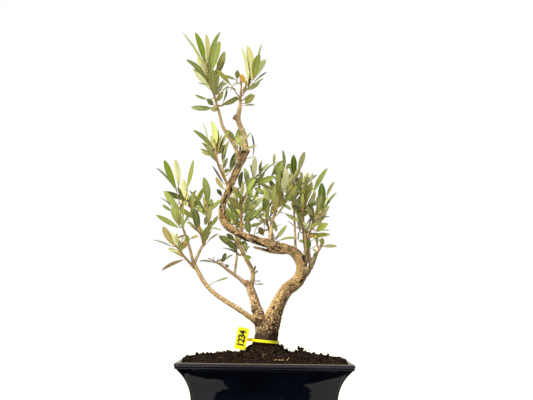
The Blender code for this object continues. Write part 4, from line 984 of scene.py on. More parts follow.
def twig_material():
    stops = ((0.3, "765a3c"), (0.5, "98784e"), (0.7, "ac9064"))
    return grained("twig_look", 0.7, 0.3, (220, 3, 0.6), stops, (1500, 3), 0.12, 0.6)


def leaf_material(name, color, roughness, low, high, specular):
    surface = Surface(name, roughness, specular)
    surface.set(Base_Color=(*[LIGHT_SHARE * share for share in linear(color)], 1))
    return surface.rough(surface.noise(700, 2), low, high).material


def leaf_materials():
    """One surface for each shade's upper and under side, then the two ribs."""
    sides = ("upper", "under")
    made = []
    for name, colors in SHADES.items():
        for side, color in zip(sides, colors):
            made.append(leaf_material(f"leaf_{name}_{side}", color, *LEAF_FINISH[side]))
    ribs = zip(sides, LEAF_RIBS)
    return made + [leaf_material(f"leaf_rib_{side}", color, *LEAF_FINISH["rib"]) for side, color in ribs]


def glaze_material():
    """Blue-black gloss, lighter blue on the rim as thin glaze with a painted highlight, dusty clay with a
    painted sheen along its top, a painted highlight on the bead and painted shade in the groove.
    """
    surface = Surface("glaze_look", 0.05, 0.27).set(Specular_Tint=(0.85, 0.83, 1.0, 1))
    cloud = surface.noise(35, 4, 0.6, 0.6)
    glaze = surface.ramp(cloud, ((0.3, "000106"), (0.55, "02050e"), (0.8, "070c1c")))
    speck = surface.noise(700, 4, 0.7)
    # The lighter rim colour is thin glaze and a painted highlight; the top colour is dust and a painted
    # sheen.
    thin = surface.ramp(speck, ((0.35, "16161f"), (0.6, "2b2a33"), (0.8, "42404a")))
    dust_and_sheen = surface.ramp(speck, ((0.3, "4a443f"), (0.6, "776d63"), (0.8, "8f857a")))
    groove = POT_HEIGHT - RIM_BAND + BEAD_HEIGHT
    top = (POT_HEIGHT - 1.0, POT_HEIGHT - 0.1)
    # By height: a painted highlight on the bead, painted shade in the groove, thin glaze with a painted
    # highlight on the rim, and dust with a painted sheen on top.
    for low, high, look in (
        (groove - 1.7, groove - 1.2, "1d1e24"), (groove - 0.8, groove - 0.4, "020208"),
        (groove + 0.3, groove + 0.9, thin), (*top, dust_and_sheen),
    ):
        glaze = surface.mix(surface.level(low, high), glaze, look)
    surface.set(Base_Color=glaze).rough(surface.level(*top), 0.05, 0.16)
    return surface.bump(surface.noise(45, 3, 0.5), 0.4, 0.2).material


def soil_material():
    surface = Surface("soil_look", 0.95, 0.08)
    fine = surface.noise(620, 6, 0.75)
    coarse = surface.ramp(surface.noise(200, 4, 0.65), ((0.35, 0.25), (0.6, 1.0)))
    tone = surface.ramp(fine, ((0.37, "050303"), (0.48, "150d0a"), (0.58, "35271f"), (0.68, "8c7868")))
    return surface.set(Base_Color=surface.mix(0.7, tone, coarse, "MULTIPLY")).bump(fine, 1.3).material


def label_material(name, color, roughness):
    darker = "".join(f"{int(int(color[i : i + 2], 16) * 0.93):02x}" for i in (0, 2, 4))
    stops = ((0.35, darker), (0.6, color))
    return grained(name, roughness, 0.4, (120, 3, 0.6), stops, (900, 2), 0.03, 0.5)


# ---- bark ----


def knot_values(values, count):
    """Values given at knots, for each point of a line with LIMB_STEPS points to a stretch."""
    return np.interp(np.arange(count) / LIMB_STEPS, np.arange(len(values)), values)


class Bark:
    """Every limb as one skin, with warts low down, flaking plates on the crossing trunk and cut knots."""

    def __init__(self):
        self.sink = Sink()
        self.samples = []
        self.places = KDTree(3000)
        trunk = smooth_line(TRUNK_LINE, LIMB_STEPS)
        trunk = np.vstack([trunk[0] - (0, 0, 6, 0), trunk])
        knots = (TRUNK_WARTS, TRUNK_FLAKES, TRUNK_DULL)
        warts, flakes, dull = [knot_values(values, len(trunk)) for values in knots]
        self.add_limb(0, trunk, warts, flakes, 0, dull)
        for number, limb in enumerate(LIMBS, 1):
            line = smooth_line(limb.line, LIMB_STEPS)
            shaded = SHADED_LIMBS.get(limb.name, 0)
            self.add_limb(number, line, limb.warts, limb.flakes, limb.young, shaded, collared=True)
        for number, stub in enumerate(STUBS, len(LIMBS) + 1):
            bare = float(number <= len(LIMBS) + BARE_CUTS)
            line = smooth_line(stub, STUB_STEPS)
            self.add_limb(number, line, 0.6 * (1 - bare), 0.2, 0, 0.5 * (1 - bare), cut=bare)
        self.places.balance()

    def add_limb(self, number, line, warts, flakes, young, dull, collared=False, cut=0.0):
        points, radii = line[:, :3], line[:, 3].copy()
        run = np.concatenate([[0], np.cumsum(np.linalg.norm(np.diff(points, axis=0), axis=1))])
        if collared:
            radii *= 1 + COLLAR * np.exp(-((run / (2.2 * radii[0])) ** 2))
        radii += SMOOTHING_LOSS * (radii < THIN_RADIUS)
        self.sink.add(*tube(points, radii, LIMB_SIDES))
        frames = carried_frames(points)
        shares = [np.zeros(len(line)) + share for share in (warts, flakes, young, dull)]
        for i in range(len(points)):
            facts = (line[i, 3], run[i], *[share[i] for share in shares], cut * (i / (len(points) - 1)))
            self.places.insert(points[i], len(self.samples))
            self.samples.append((number, Vector(points[i]), *[Vector(frame[i]) for frame in frames], facts))

    def skin(self):
        base = placed("bark_base", self.sink.mesh("bark_base"))
        remesh = base.modifiers.new("skin", "REMESH")
        remesh.mode = "VOXEL"
        remesh.voxel_size = VOXEL * MM
        soften = base.modifiers.new("soften", "SMOOTH")
        soften.factor = 0.5
        soften.iterations = SMOOTH_STEPS
        return final_mesh(base)

    def dressed(self):
        """The skin with its relief, its colours, and which of its corners belong to the trunk."""
        skin = self.skin()
        count = len(skin.vertices)
        places = np.empty(count * 3)
        normals = np.empty(count * 3)
        skin.vertices.foreach_get("co", places)
        skin.vertex_normals.foreach_get("vector", normals)
        places = places.reshape(-1, 3) / MM
        normals = normals.reshape(-1, 3)
        lifts = np.zeros(count)
        tones = np.ones((count, 4))
        trunk = np.zeros(count, bool)
        for i in range(count):
            trunk[i], lifts[i], tones[i, :3] = self.relief(places[i])
        for mark in BARK_GASHES:
            lifts, tones = gashed(places, normals, lifts, tones, mark)
        places += normals * lifts[:, None]
        return skin, places, tones, trunk

    def relief(self, place):
        """Whether a place is on the trunk, how far its bark stands out in mm, and its colour."""
        point = Vector(place)
        near = self.places.find_n(point, 5)
        sample = min(near, key=lambda found: found[2] - self.samples[found[1]][5][0])[1]
        number, centre, along, across, over, facts = self.samples[sample]
        radius, run, warts, flakes, young, dull, cut = facts
        off = point - centre
        run += off.dot(along)
        side = Vector((off.dot(across), off.dot(over)))
        old = held((radius - YOUNG_RADIUS) / OLD_RISE)
        mottle = noise.noise(point / MOTTLE_SIZE)
        fine = noise.noise(point / FINE_SIZE)
        foot = held((BUTTRESS_TOP - point.z) / (BUTTRESS_TOP - BUTTRESS_FOOT))
        near_trunk = held((18 - math.hypot(point.x, point.y)) / 6)
        low = held((LOW_TOP + 5 * mottle - point.z) / (LOW_TOP - BUTTRESS_FOOT)) * near_trunk
        warts = max(warts, min(1.0, 2.2 * low))
        spot = Spot(number, point, off, run, side, radius, old, mottle, fine, foot, low)
        lift = 0.7 * old * noise.noise(point / 8.0) + (0.12 + 0.5 * old) * noise.noise(point / 2.7)
        lift += 0.35 * old * fine
        tone = BARK_TAN.lerp(BARK_GREY, held(0.35 + 1.3 * mottle))
        tone = tone.lerp(BARK_YOUNG, young * min(1.0, run / 22))
        tone = tone.lerp(BARK_SHADED if number else BARK_DULL, dull)
        # On young limbs, the pale side that faces front and up is a painted highlight, and the darker warm
        # underside is painted shade.
        front = (off.z - off.y) / (1.41 * radius)
        tone = tone.lerp(BARK_PALE, 0.45 * young * held(1.8 * front - 0.7))
        tone = tone.lerp(BARK_UNDERSIDE_SHADE, 0.5 * young * held(-1.2 * off.z / radius - 0.1))
        lift, tone = grooved(spot, flakes, lift, tone)
        if warts > 0.02:
            lift, tone = warty(spot, warts, lift, tone)
        if flakes > 0.02:
            lift, tone = flaking(spot, flakes, lift, tone)
        tone = worn_and_painted_light(spot, max(warts, 0.55 * flakes), cut, tone)
        rise = held((point.z - TRUNK_TINT_FOOT) / TRUNK_TINT_RISE)
        tint = TRUNK_TINTS[0].lerp(TRUNK_TINTS[1], rise)
        if number:
            name = LIMBS[number - 1].name if number <= len(LIMBS) else ""
            tint = LIMB_TINTS.get(name, Vector((1, 1, 1)))
        tone = tone * (1 + 0.4 * fine)
        return number == 0, lift, [min(0.95, part * share) for part, share in zip(tone, tint)]


# A place on the bark: its limb's number, where it lies off and along the limb, and what shapes it there.
Spot = namedtuple("Spot", "number point off run side radius old mottle fine foot low")


def grooved(spot, flakes, lift, tone):
    """The trunk's buttresses, grooves along every limb, and faint rings round it."""
    if spot.number == 0 and spot.foot > 0:
        turn = math.atan2(spot.off.y, spot.off.x)
        flare = math.sin(BUTTRESSES * turn + 1.1) * (0.7 + 0.3 * math.sin(turn * 3))
        lift += BUTTRESS_DEPTH * spot.foot * spot.foot * flare
    across, over = spot.side
    groove = noise.noise(Vector((spot.run / 10, across / 2.2, over / 2.2 + spot.number)))
    lift -= 0.5 * spot.old * max(0.0, -groove - 0.1)
    tone = tone.lerp(BARK_DARK, held(1.8 * (-groove - 0.08), 0.6) * (0.3 + 0.7 * spot.old))
    ring = noise.noise(Vector((spot.run / 0.9, across / 5, over / 5 + spot.number)))
    return lift, tone.lerp(BARK_DARK, held(-ring - 0.15, 0.3) * (1 - flakes))


def warty(spot, warts, lift, tone):
    """Pale warts and dark pits on an earthy ground, in cells. The ground darkens towards the right side,
    which is painted shade.
    """
    point, low = spot.point, spot.low
    # The right-side term darkens the ground: painted shade.
    patch = noise.noise(point / 7 + Vector((4, 2, 9))) + 0.7 * spot.off.x / spot.radius
    tone = tone.lerp(BARK_EARTH_AND_SHADE, held((warts - 0.2) * 1.5 * (0.45 + 0.9 * patch) + 1.3 * low))
    shake = Vector((spot.fine, noise.noise(point / 1.3 + Vector((7, 7, 7))), -spot.mottle))
    found, spots = noise.voronoi((point + 0.55 * shake) / WART_SPACING)
    lot = 0.5 + 0.5 * noise.cell(spots[0] * 7.3)
    gap = held(1 - (found[1] - found[0]) / 0.25)
    tone = tone.lerp(BARK_EARTH_AND_SHADE, 0.8 * gap * warts)
    if lot < warts * 0.85:
        rise = held(1 - found[0] / 0.5)
        pit = held(1 - found[0] / 0.22) * (lot < 0.35)
        lift += (0.6 * rise - 0.9 * pit) * (0.4 + 0.6 * spot.old)
        tone = tone.lerp(BARK_PALE, (0.35 + 0.6 * lot) * held(rise * 2.2 - 0.9 * low))
        tone = tone.lerp(BARK_BLACK, min(1.0, 1.5 * pit))
    return lift, tone


def flaking(spot, flakes, lift, tone):
    """Plates of old bark with cracks between them, some worn or gone."""
    (across, over), old = spot.side, spot.old
    bend = Vector((0.35 * spot.mottle, 0.25 * spot.fine, 0))
    where = Vector((spot.run / PLATE_LENGTH, across / PLATE_WIDTH, over / PLATE_WIDTH + spot.number * 3))
    found, spots = noise.voronoi(where + bend)
    crack = held(1 - (found[1] - found[0]) / 0.17)
    lot = 0.5 + 0.5 * noise.cell(spots[0] * 5.1)
    worn = noise.noise(Vector((spot.run / 9, across / 4, over / 4 + 20))) + 0.3 * spot.fine
    bare = held((worn - 0.3 + 0.22 * flakes) * 5) * flakes
    gone = flakes * held((lot - 0.72) * 9)
    lift += flakes * old * (0.5 * lot - 0.25 - 0.7 * crack) - 0.55 * max(bare, gone) * old
    tone = tone.lerp(BARK_PLATE, 0.75 * flakes * (1 - lot))
    tone = tone.lerp(BARK_DARK, min(1.0, flakes * crack * 0.85))
    return lift, tone.lerp(BARK_BLACK, 0.85 * max(bare, 0.75 * gone))


def worn_and_painted_light(spot, worn, cut, tone):
    """Flecks, painted shade on the right side, a painted highlight on the left side, bare cuts, and damp at
    the soil.
    """
    point, old, mottle = spot.point, spot.old, spot.mottle
    fleck = noise.noise(point / 1.7 + Vector((3, 8, 1)))
    cluster = held(0.45 + 1.6 * noise.noise(point / 9 + Vector((5, 1, 2))))
    rough = (0.12 + 0.88 * worn * cluster) * old
    tone = tone.lerp(BARK_PALE, held(2.6 * (fleck - 0.14), 0.7) * rough * (1 - 0.6 * spot.foot))
    tone = tone.lerp(BARK_DARK, held(3.4 * (-fleck - 0.12), 0.85) * rough)
    # Painted shade on the right side, then a painted highlight on the left side.
    painted_shade = held(0.75 * spot.off.x / spot.radius + 0.5 * mottle - 0.1) * (point.z < PAINTED_SHADE_TOP)
    tone = tone.lerp(BARK_EARTH_AND_SHADE, 0.55 * painted_shade * old)
    sun = held(0.6 * mottle - 0.8 * spot.off.x / spot.radius - 0.2) * (spot.number < 2)
    tone = tone.lerp(BARK_PALE, 0.4 * sun * (1 - spot.low))
    tone = tone.lerp(BARK_CUT, 0.8 * cut)
    return tone.lerp(BARK_DAMP, 0.9 * held((DAMP_TOP + 6 * mottle - point.z) / 9))


def gashed(places, normals, lifts, tones, mark):
    """The skin with one dark gash, where its place on the side that faces the view shows it."""
    pixel, row, reach, wide, turn, depth = mark
    local = (places - np.array(CAMERA_PLACE)) @ np.array(CAMERA_TURN)
    scale = FOCAL / -local[:, 2]
    right = FRAME_WIDTH / 2 + local[:, 0] * scale - pixel
    down = FRAME_HEIGHT / 2 - local[:, 1] * scale - row
    angle = math.radians(turn)
    along = right * math.cos(angle) - down * math.sin(angle)
    across = right * math.sin(angle) + down * math.cos(angle)
    share = 1 - np.sqrt((along / reach) ** 2 + (across / wide) ** 2)
    share = np.clip(share * 3.0, 0, 1) * (normals[:, 1] < 0.15) * (places[:, 1] < 30)
    dark = np.array(BARK_BLACK)[None, :]
    tones[:, :3] += (dark - tones[:, :3]) * (0.95 * share[:, None])
    return lifts - depth * share, tones


def make_bark():
    """The skin in two pieces, the trunk's and the boughs'."""
    skin, places, tones, trunk = Bark().dressed()
    faces = [tuple(face.vertices) for face in skin.polygons]
    on_trunk = [sum(trunk[corner] for corner in face) > 2 for face in faces]
    material = bark_material()
    trunk_nodes = ["trunk", "trunk_crossing", "trunk_upper"]
    bough_nodes = [limb.name for limb in LIMBS]
    for name, kept, nodes in (("trunk_bark", True, trunk_nodes), ("bough_bark", False, bough_nodes)):
        chosen = [face for face, ours in zip(faces, on_trunk) if ours == kept]
        corners = np.unique(np.array(chosen))
        order = np.zeros(len(places), int)
        order[corners] = np.arange(len(corners))
        sink = Sink()
        sink.add(places[corners], [tuple(order[corner] for corner in face) for face in chosen])
        mesh = sink.mesh(name)
        tone = mesh.attributes.new("tone", "FLOAT_COLOR", "POINT")
        tone.data.foreach_set("color", np.clip(tones[corners], 0, 1).ravel())
        add_piece(name, mesh, [material], nodes)


# ---- twigs and leaves ----


def leaf_faces():
    """Faces of one leaf: ten points to a station, six over the top and four beneath."""
    faces, kinds = [], []
    over = list(range(6))
    under = [0, 6, 7, 8, 9, 5]
    for i in range(len(STATIONS) - 1):
        a, b = 10 * i, 10 * (i + 1)
        for j in range(5):
            faces.append((a + over[j], a + over[j + 1], b + over[j + 1], b + over[j]))
            kinds.append("rib_upper" if j == RIB_STRIP else "upper")
            faces.append((a + under[j + 1], a + under[j], b + under[j], b + under[j + 1]))
            kinds.append("rib_under" if j == RIB_STRIP else "under")
    loop = over + [9, 8, 7, 6]
    last = 10 * (len(STATIONS) - 1)
    faces.append(tuple(reversed(loop)))
    faces.append(tuple(last + corner for corner in loop))
    return faces, kinds + ["upper", "upper"]


LEAF_FACES, LEAF_KINDS = leaf_faces()


def leaf_points(root, tip, up, width, rng):
    """The points of one leaf from its root to its tip, with its upper side towards up."""
    reach = np.linalg.norm(tip - root)
    arch, sweep, twist, fold = [math.radians(rng.uniform(*limits)) for limits in LEAF_TURNS]
    fold = math.tan(fold)
    middle = (STATIONS[1:] + STATIONS[:-1]) / 2 - 0.5
    bend, swing = arch * middle, sweep * middle
    ways = np.stack([np.sin(swing) * np.cos(bend), -np.sin(bend), np.cos(swing) * np.cos(bend)], 1)
    spine = np.vstack([np.zeros(3), np.cumsum(ways * np.diff(STATIONS)[:, None], axis=0)])
    along = np.gradient(spine, axis=0)
    along /= np.linalg.norm(along, axis=1)[:, None]
    points = []
    for i, share in enumerate(STATIONS):
        across = unit(np.cross(np.array((0, 1, 0)), along[i]))
        rise = np.cross(along[i], across)
        turn = twist * (share - 0.5)
        cosine, sine = math.cos(turn), math.sin(turn)
        across, rise = across * cosine + rise * sine, rise * cosine - across * sine
        half = width / reach / 2 * OUTLINE[i]
        thick = LEAF_THICKNESS / reach / 2 * (0.45 + 0.55 * OUTLINE[i])
        lift = fold * np.abs(ACROSS) * half - 0.25 * fold * half * ACROSS**2
        full = 1 - ACROSS**2
        top = lift + thick * full
        top[2:4] -= 0.5 * thick
        bottom = lift - thick * full
        bottom[2:4] -= 0.6 * thick
        points += [spine[i] + across * half * a + rise * t for a, t in zip(ACROSS, top)]
        points += [spine[i] + across * half * a + rise * b for a, b in list(zip(ACROSS, bottom))[1:5]]
    points = np.array(points)
    chord = unit(spine[-1])
    rise = unit(np.array((0, 1, 0)) - chord * chord[1])
    own = np.stack([np.cross(rise, chord), rise, chord])
    aim = unit(tip - root)
    face = unit(up - aim * up.dot(aim))
    goal = np.stack([np.cross(face, aim), face, aim])
    return root + reach / np.linalg.norm(spine[-1]) * points @ own.T @ goal


def at_share(line, share):
    """The point and direction at a share of the way along a line."""
    place = share * (len(line) - 1)
    index = min(int(place), len(line) - 2)
    start, end = line[index][:3], line[index + 1][:3]
    return start + (end - start) * (place - index), unit(end - start)


def length_of(line):
    return np.linalg.norm(np.diff(line[:, :3], axis=0), axis=1).sum()


def shoot_line(start, tip):
    """A shoot that leaves low and turns up towards its tip."""
    start, tip = np.array(start, float), np.array(tip, float)
    middle = (start + tip) / 2 - (0, 0, SHOOT_SAG * np.linalg.norm(tip - start))
    knots = ((*start, SHOOT_RADIUS), (*middle, SHOOT_RADIUS * 0.85), (*tip, SHOOT_TIP_RADIUS))
    return smooth_line(knots, SHOOT_STEPS)


def open_sky(point):
    """True where a point shows in front of open sky."""
    pixel, row = shown_at(point)
    return any(((pixel - x) / across) ** 2 + ((row - y) / down) ** 2 < 1 for x, y, across, down in SKY)


def within(mass, point):
    return sum(abs((point[i] - mass.centre[i]) / mass.reach[i]) ** SPACE_POWER for i in range(3)) <= 1


class Foliage:
    """Twigs, and leaves by the mass that they stand for."""

    def __init__(self):
        self.rng = random.Random(SEED)
        self.twigs = Sink()
        self.leaves = {mass.name: Sink() for mass in MASSES}
        self.shown = []
        self.shade_number = {name: number for number, name in enumerate(SHADES)}

    def add_twig(self, line, sides=7):
        """A twig with faint nodes, rounded off at its tip."""
        end = line[-1].copy()
        end[:3] += unit(line[-1][:3] - line[-2][:3]) * end[3] * BUD_LENGTH
        end[3] *= BUD_POINT
        line = np.vstack([line, end])
        radii = line[:, 3] * (1 + 0.06 * np.sin(np.arange(len(line)) * 2.3))
        self.twigs.add(*tube(line[:, :3], radii, sides))

    def add_leaf(self, mass, root, tip, up, width, shade):
        number = 2 * self.shade_number[shade]
        ribs = 2 * len(SHADES)
        slots = {"upper": number, "under": number + 1, "rib_upper": ribs, "rib_under": ribs + 1}
        points = leaf_points(np.array(root), np.array(tip), np.array(up), width, self.rng)
        self.leaves[mass].add(points, LEAF_FACES, [slots[kind] for kind in LEAF_KINDS])

    def add_petiole(self, start, end, toward):
        """A thin stalk from the wood to a leaf's root, that turns into the leaf's own direction."""
        reach = max(np.linalg.norm(end - start), 0.5)
        middle = (start + end) / 2 - toward * 0.12 * reach + (0, 0, -0.04 * reach)
        knots = (start, middle, end, end + toward * 1.5)
        thick = PETIOLE_RADIUS * (1 + 0.35 * min(1.0, reach / 12))
        radii = (thick, thick * 0.95, PETIOLE_RADIUS * 0.9, PETIOLE_RADIUS * 0.5)
        self.add_twig(smooth_line([(*knot, radius) for knot, radius in zip(knots, radii)], 3), 6)

    def seen_leaf(self, mass, row, wood):
        """A leaf read from the view: it springs from the nearest wood, at that wood's depth."""
        x, y, tip_x, tip_y, wide, shade = row
        carrier = min(wood, key=lambda point: math.dist(shown_at(point), (x, y)))
        scale = (carrier[1] - CAMERA_PLACE.y) / FOCAL
        reach = math.dist((x, y), (tip_x, tip_y)) * scale
        breadth = LEAF_SLENDER * reach
        shown = wide * scale
        side = self.rng.choice((-1, 1))
        depth = carrier[1]
        if shade in LEANING_SHADES:
            side = -1
            depth -= LEAN_DEPTH
        if shown <= breadth:
            tilt = self.rng.uniform(*SEEN_TILT) * side
            full = reach / math.cos(tilt)
            turned = math.acos(max(0.1, shown / (LEAF_SLENDER * full)))
        else:
            full = min(shown / LEAF_SLENDER, 1.5 * reach)
            tilt = side * math.acos(max(0.6, reach / full))
            turned = math.radians(self.rng.uniform(0, FLAT_TURN))
        root = np.array(at(x, y, depth))
        tip = np.array(at(tip_x, tip_y, depth + reach * math.tan(tilt)))
        aim = unit(tip - root)
        view = unit(np.array(CAMERA_PLACE) - root)
        facing = unit(view - aim * view.dot(aim))
        sideways = np.cross(aim, facing)
        ups = [facing * math.cos(turned) + sideways * math.sin(turned) * sign for sign in (-1, 1)]
        if SHADES[shade][2] == "under":
            ups = [-up for up in ups]
        up = max(ups, key=lambda way: way[2])
        width = max(shown, min(LEAF_SLENDER * full, shown / max(math.cos(turned), 0.1)))
        self.shown.append((x, y, tip_x - x, tip_y - y, wide / 2 + COVER_MARGIN, depth))
        self.add_petiole(np.array(carrier), root, aim)
        self.add_leaf(mass, root, tip, up, width, shade)

    def covered(self, point):
        """Whether leaves that show hide a point or its background, and whether it lies in front of them."""
        shown = np.array(self.shown)
        off = np.array(shown_at(point)) - shown[:, :2]
        ways = shown[:, 2:4]
        share = np.clip((off * ways).sum(1) / (ways**2).sum(1), 0, 1)
        near = np.linalg.norm(off - ways * share[:, None], axis=1) < shown[:, 4]
        return near.any(), near.any() and point[1] < shown[near, 5].min()

    def leaf_plans(self, line, leaf, bare, internode):
        """Opposite pairs of leaves, each pair turned from the one below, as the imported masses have."""
        rng = self.rng
        length = length_of(line)
        turn = rng.uniform(0, math.pi)
        place = bare * length
        while place < length + internode / 2:
            share = min(place / length, 1.0)
            root, along = at_share(line, share)
            side = np.array(Vector(along).orthogonal().normalized())
            over = np.cross(along, side)
            for half in (0, math.pi):
                azimuth = turn + half + rng.uniform(-TURN_JITTER, TURN_JITTER)
                spread = LEAF_SPREAD_LOW + (LEAF_SPREAD_TIP - LEAF_SPREAD_LOW) * share
                spread += rng.uniform(-SPREAD_JITTER, SPREAD_JITTER)
                size = leaf * (LEAF_END_SIZE + LEAF_SWELL * math.sin(math.pi * (0.15 + 0.7 * share)))
                size *= rng.uniform(*LEAF_SIZE_RANGE)
                roll = rng.uniform(-ROLL_JITTER, ROLL_JITTER)
                lost = rng.random() < LEAF_LOSS
                outward = side * math.cos(azimuth) + over * math.sin(azimuth)
                toward = unit(along * math.cos(spread) + outward * math.sin(spread) + (0, 0, LEAF_LIFT))
                if not lost:
                    yield root, toward, along, size * FINE_LEAF, roll
            turn += math.pi / 2 + rng.uniform(-TURN_JITTER, TURN_JITTER)
            place += internode * rng.uniform(*INTERNODE_RANGE)

    def fits(self, places):
        """Whether a leaf of a front mass stays, by how much of it keeps to where leaves show."""
        found = [self.covered(place) for place in places]
        chance = COVERED_CHANCE[sum(covered for covered, _ in found)]
        if any(in_front for _, in_front in found):
            chance *= IN_FRONT_CHANCE
        return self.rng.random() < chance

    def rule_leaves(self, mass, line, leaf, bare, back, own):
        """The leaves of a shoot by the rule. A front stem adds only those that reach in depth."""
        rng = self.rng
        common = rng.choice(COMMON_SHADES)
        internode = INTERNODE * (1 if back else FRONT_INTERNODE_SHARE)
        for root, toward, along, size, roll in self.leaf_plans(line, leaf, bare, internode):
            tip = root + toward * size
            places = [root + toward * size * share for share in PLACES]
            keeps = (back or self.fits(places)) and not any(open_sky(place) for place in places)
            if own and not back and abs(toward[1]) < DEPTH_SHARE:
                keeps = False
            if keeps and within(mass, tip):
                face = unit(along - toward * along.dot(toward))
                up = face * math.cos(roll) + np.cross(toward, face) * math.sin(roll)
                shade = common if rng.random() < ALIKE_SHARE else rng.choice(COMMON_SHADES)
                stalk = root + toward * STALK_LENGTH
                self.add_petiole(root, stalk, toward)
                self.add_leaf(mass.name, stalk, tip, up, size * rng.uniform(*LEAF_BREADTH), shade)

    def grow(self, mass):
        """The stem, shoots and leaves that show of a mass, and its shoots for the rule's leaves."""
        stem = smooth_line(mass.stem, STEM_STEPS)
        self.add_twig(stem, 8)
        wood = [point[:3] for point in stem]
        shoots = [(stem, mass.leaf, STEM_BARE_SHARE)]
        for share, tip in mass.shoots:
            line = shoot_line(at_share(stem, share)[0], tip)
            self.add_twig(line)
            shoots.append((line, mass.leaf * SHOOT_LEAF_SHARE, BARE_SHARE))
        for near, far, pixels in TWIGS.get(mass.name, ()):
            wood += self.seen_twig(near, far, pixels, wood)
        for row in LEAVES.get(mass.name, ()):
            self.seen_leaf(mass.name, row, wood)
        return shoots

    def seen_twig(self, near, far, pixels, wood):
        """A finer twig read from the view, rooted on the nearest wood."""
        depths = np.linspace(near, far, len(pixels))
        knots = [np.array(at(x, row, depth)) for (x, row), depth in zip(pixels, depths)]
        carrier = min(wood, key=lambda point: math.dist(shown_at(point), pixels[0]))
        knots = [np.array(carrier)] + knots[(1 if len(knots) > 2 else 0) :]
        radii = np.linspace(SHOOT_RADIUS * 1.1, SHOOT_TIP_RADIUS, len(knots))
        line = smooth_line([(*knot, radius) for knot, radius in zip(knots, radii)], 4)
        self.add_twig(line)
        return [point[:3] for point in line[1:]]


def make_foliage():
    foliage = Foliage()
    shoots = [foliage.grow(mass) for mass in MASSES]
    bough = smooth_line(next(limb.line for limb in LIMBS if limb.name == "left_bough"), LIMB_STEPS)
    stub = smooth_line(STUBS[LEAFY_STUB], STUB_STEPS)
    for row, mass, wood in zip(BOUGH_LEAVES, ("left_low", "centre_low", "centre_low"), (bough, stub, stub)):
        foliage.seen_leaf(mass, row, [point[:3] for point in wood])
    for mass, lines in zip(MASSES, shoots):
        for number, (line, leaf, bare) in enumerate(lines):
            foliage.rule_leaves(mass, line, leaf, bare, mass.piece == "back", number == 0)
    twigs = foliage.twigs.mesh("twigs")
    add_piece("twigs", twigs, [twig_material()], [f"foliage_{mass.name}" for mass in MASSES])
    materials = leaf_materials()
    for piece in LEAF_PIECES:
        names = [mass.name for mass in MASSES if mass.piece == piece]
        joined = Sink()
        for name in names:
            sink = foliage.leaves[name]
            joined.add(np.vstack(sink.points), sink.faces, sink.slots)
        mesh = joined.mesh(f"leaves_{piece}")
        mesh.set_sharp_from_angle(angle=LEAF_EDGE_ANGLE)
        add_piece(f"leaves_{piece}", mesh, materials, [f"foliage_{name}" for name in names])


# ---- pot and soil ----


def rounded_rectangle(length, depth, radius, height, side_steps=6, corner_steps=CORNER_STEPS):
    """The points of a level rounded rectangle about the Z axis, side_steps of them to each side."""
    ring = []
    for quarter in range(4):
        sx = 1 if quarter in (0, 3) else -1
        sy = 1 if quarter in (0, 1) else -1
        corner = [math.radians(90) * (quarter + step / corner_steps) for step in range(corner_steps + 1)]
        for angle in corner:
            x = sx * (length / 2 - radius) + radius * math.cos(angle)
            y = sy * (depth / 2 - radius) + radius * math.sin(angle)
            ring.append(np.array((x, y, height)))
        run = (depth, length)[quarter % 2 == 0] - 2 * radius
        along = np.array((math.cos(corner[-1] + math.pi / 2), math.sin(corner[-1] + math.pi / 2), 0))
        last = ring[-1]
        ring += [last + along * run * step / side_steps for step in range(1, side_steps)]
    return ring


def wall_inset(height):
    """How far the outer wall stands in from the rim's edge at a height."""
    angle = math.asin(held((height - ARC_FOOT) / WALL_ARC_RADIUS))
    deepest = RIM_OVERHANG + WALL_ARC_RADIUS * (1 - math.cos(WALL_ARC_ANGLE))
    return deepest - WALL_ARC_RADIUS * (1 - math.cos(angle))


def arc_heights(low, high):
    return [low + (high - low) * step / ARC_STEPS for step in range(ARC_STEPS + 1)]


def pot_levels():
    """Insets and heights up the outside of the pot, over its rim, and down the inside to its floor."""
    wall_top = POT_HEIGHT - RIM_BAND
    plinth = wall_inset(PLINTH_HEIGHT) - PLINTH_PROUD
    groove = wall_top + BEAD_HEIGHT
    levels = [(plinth + inset, height) for inset, height in PLINTH_PROFILE]
    levels += [(wall_inset(0) - 0.2, PLINTH_HEIGHT + 1.2)]
    levels += [(wall_inset(height), height) for height in arc_heights(ARC_FOOT, wall_top)]
    levels += [(inset, wall_top + height) for inset, height in BEAD_PROFILE]
    levels += [(inset, groove + height) for inset, height in GROOVE_PROFILE]
    for turn in range(0, 91, 15):
        angle = math.radians(turn)
        round_in = RIM_CROWN * (1 - math.cos(angle))
        levels.append((round_in, POT_HEIGHT - RIM_CROWN + RIM_CROWN * math.sin(angle)))
    for turn in range(0, 91, 30):
        angle = math.radians(turn)
        levels.append((RIM_WIDTH - 1 + math.sin(angle), POT_HEIGHT - 1 + math.cos(angle)))
    levels += [(RIM_WIDTH, POT_HEIGHT - RIM_BAND / 2)]
    inside = reversed(arc_heights(FLOOR, wall_top - WALL))
    levels += [(wall_inset(height) + WALL, height) for height in inside]
    return levels


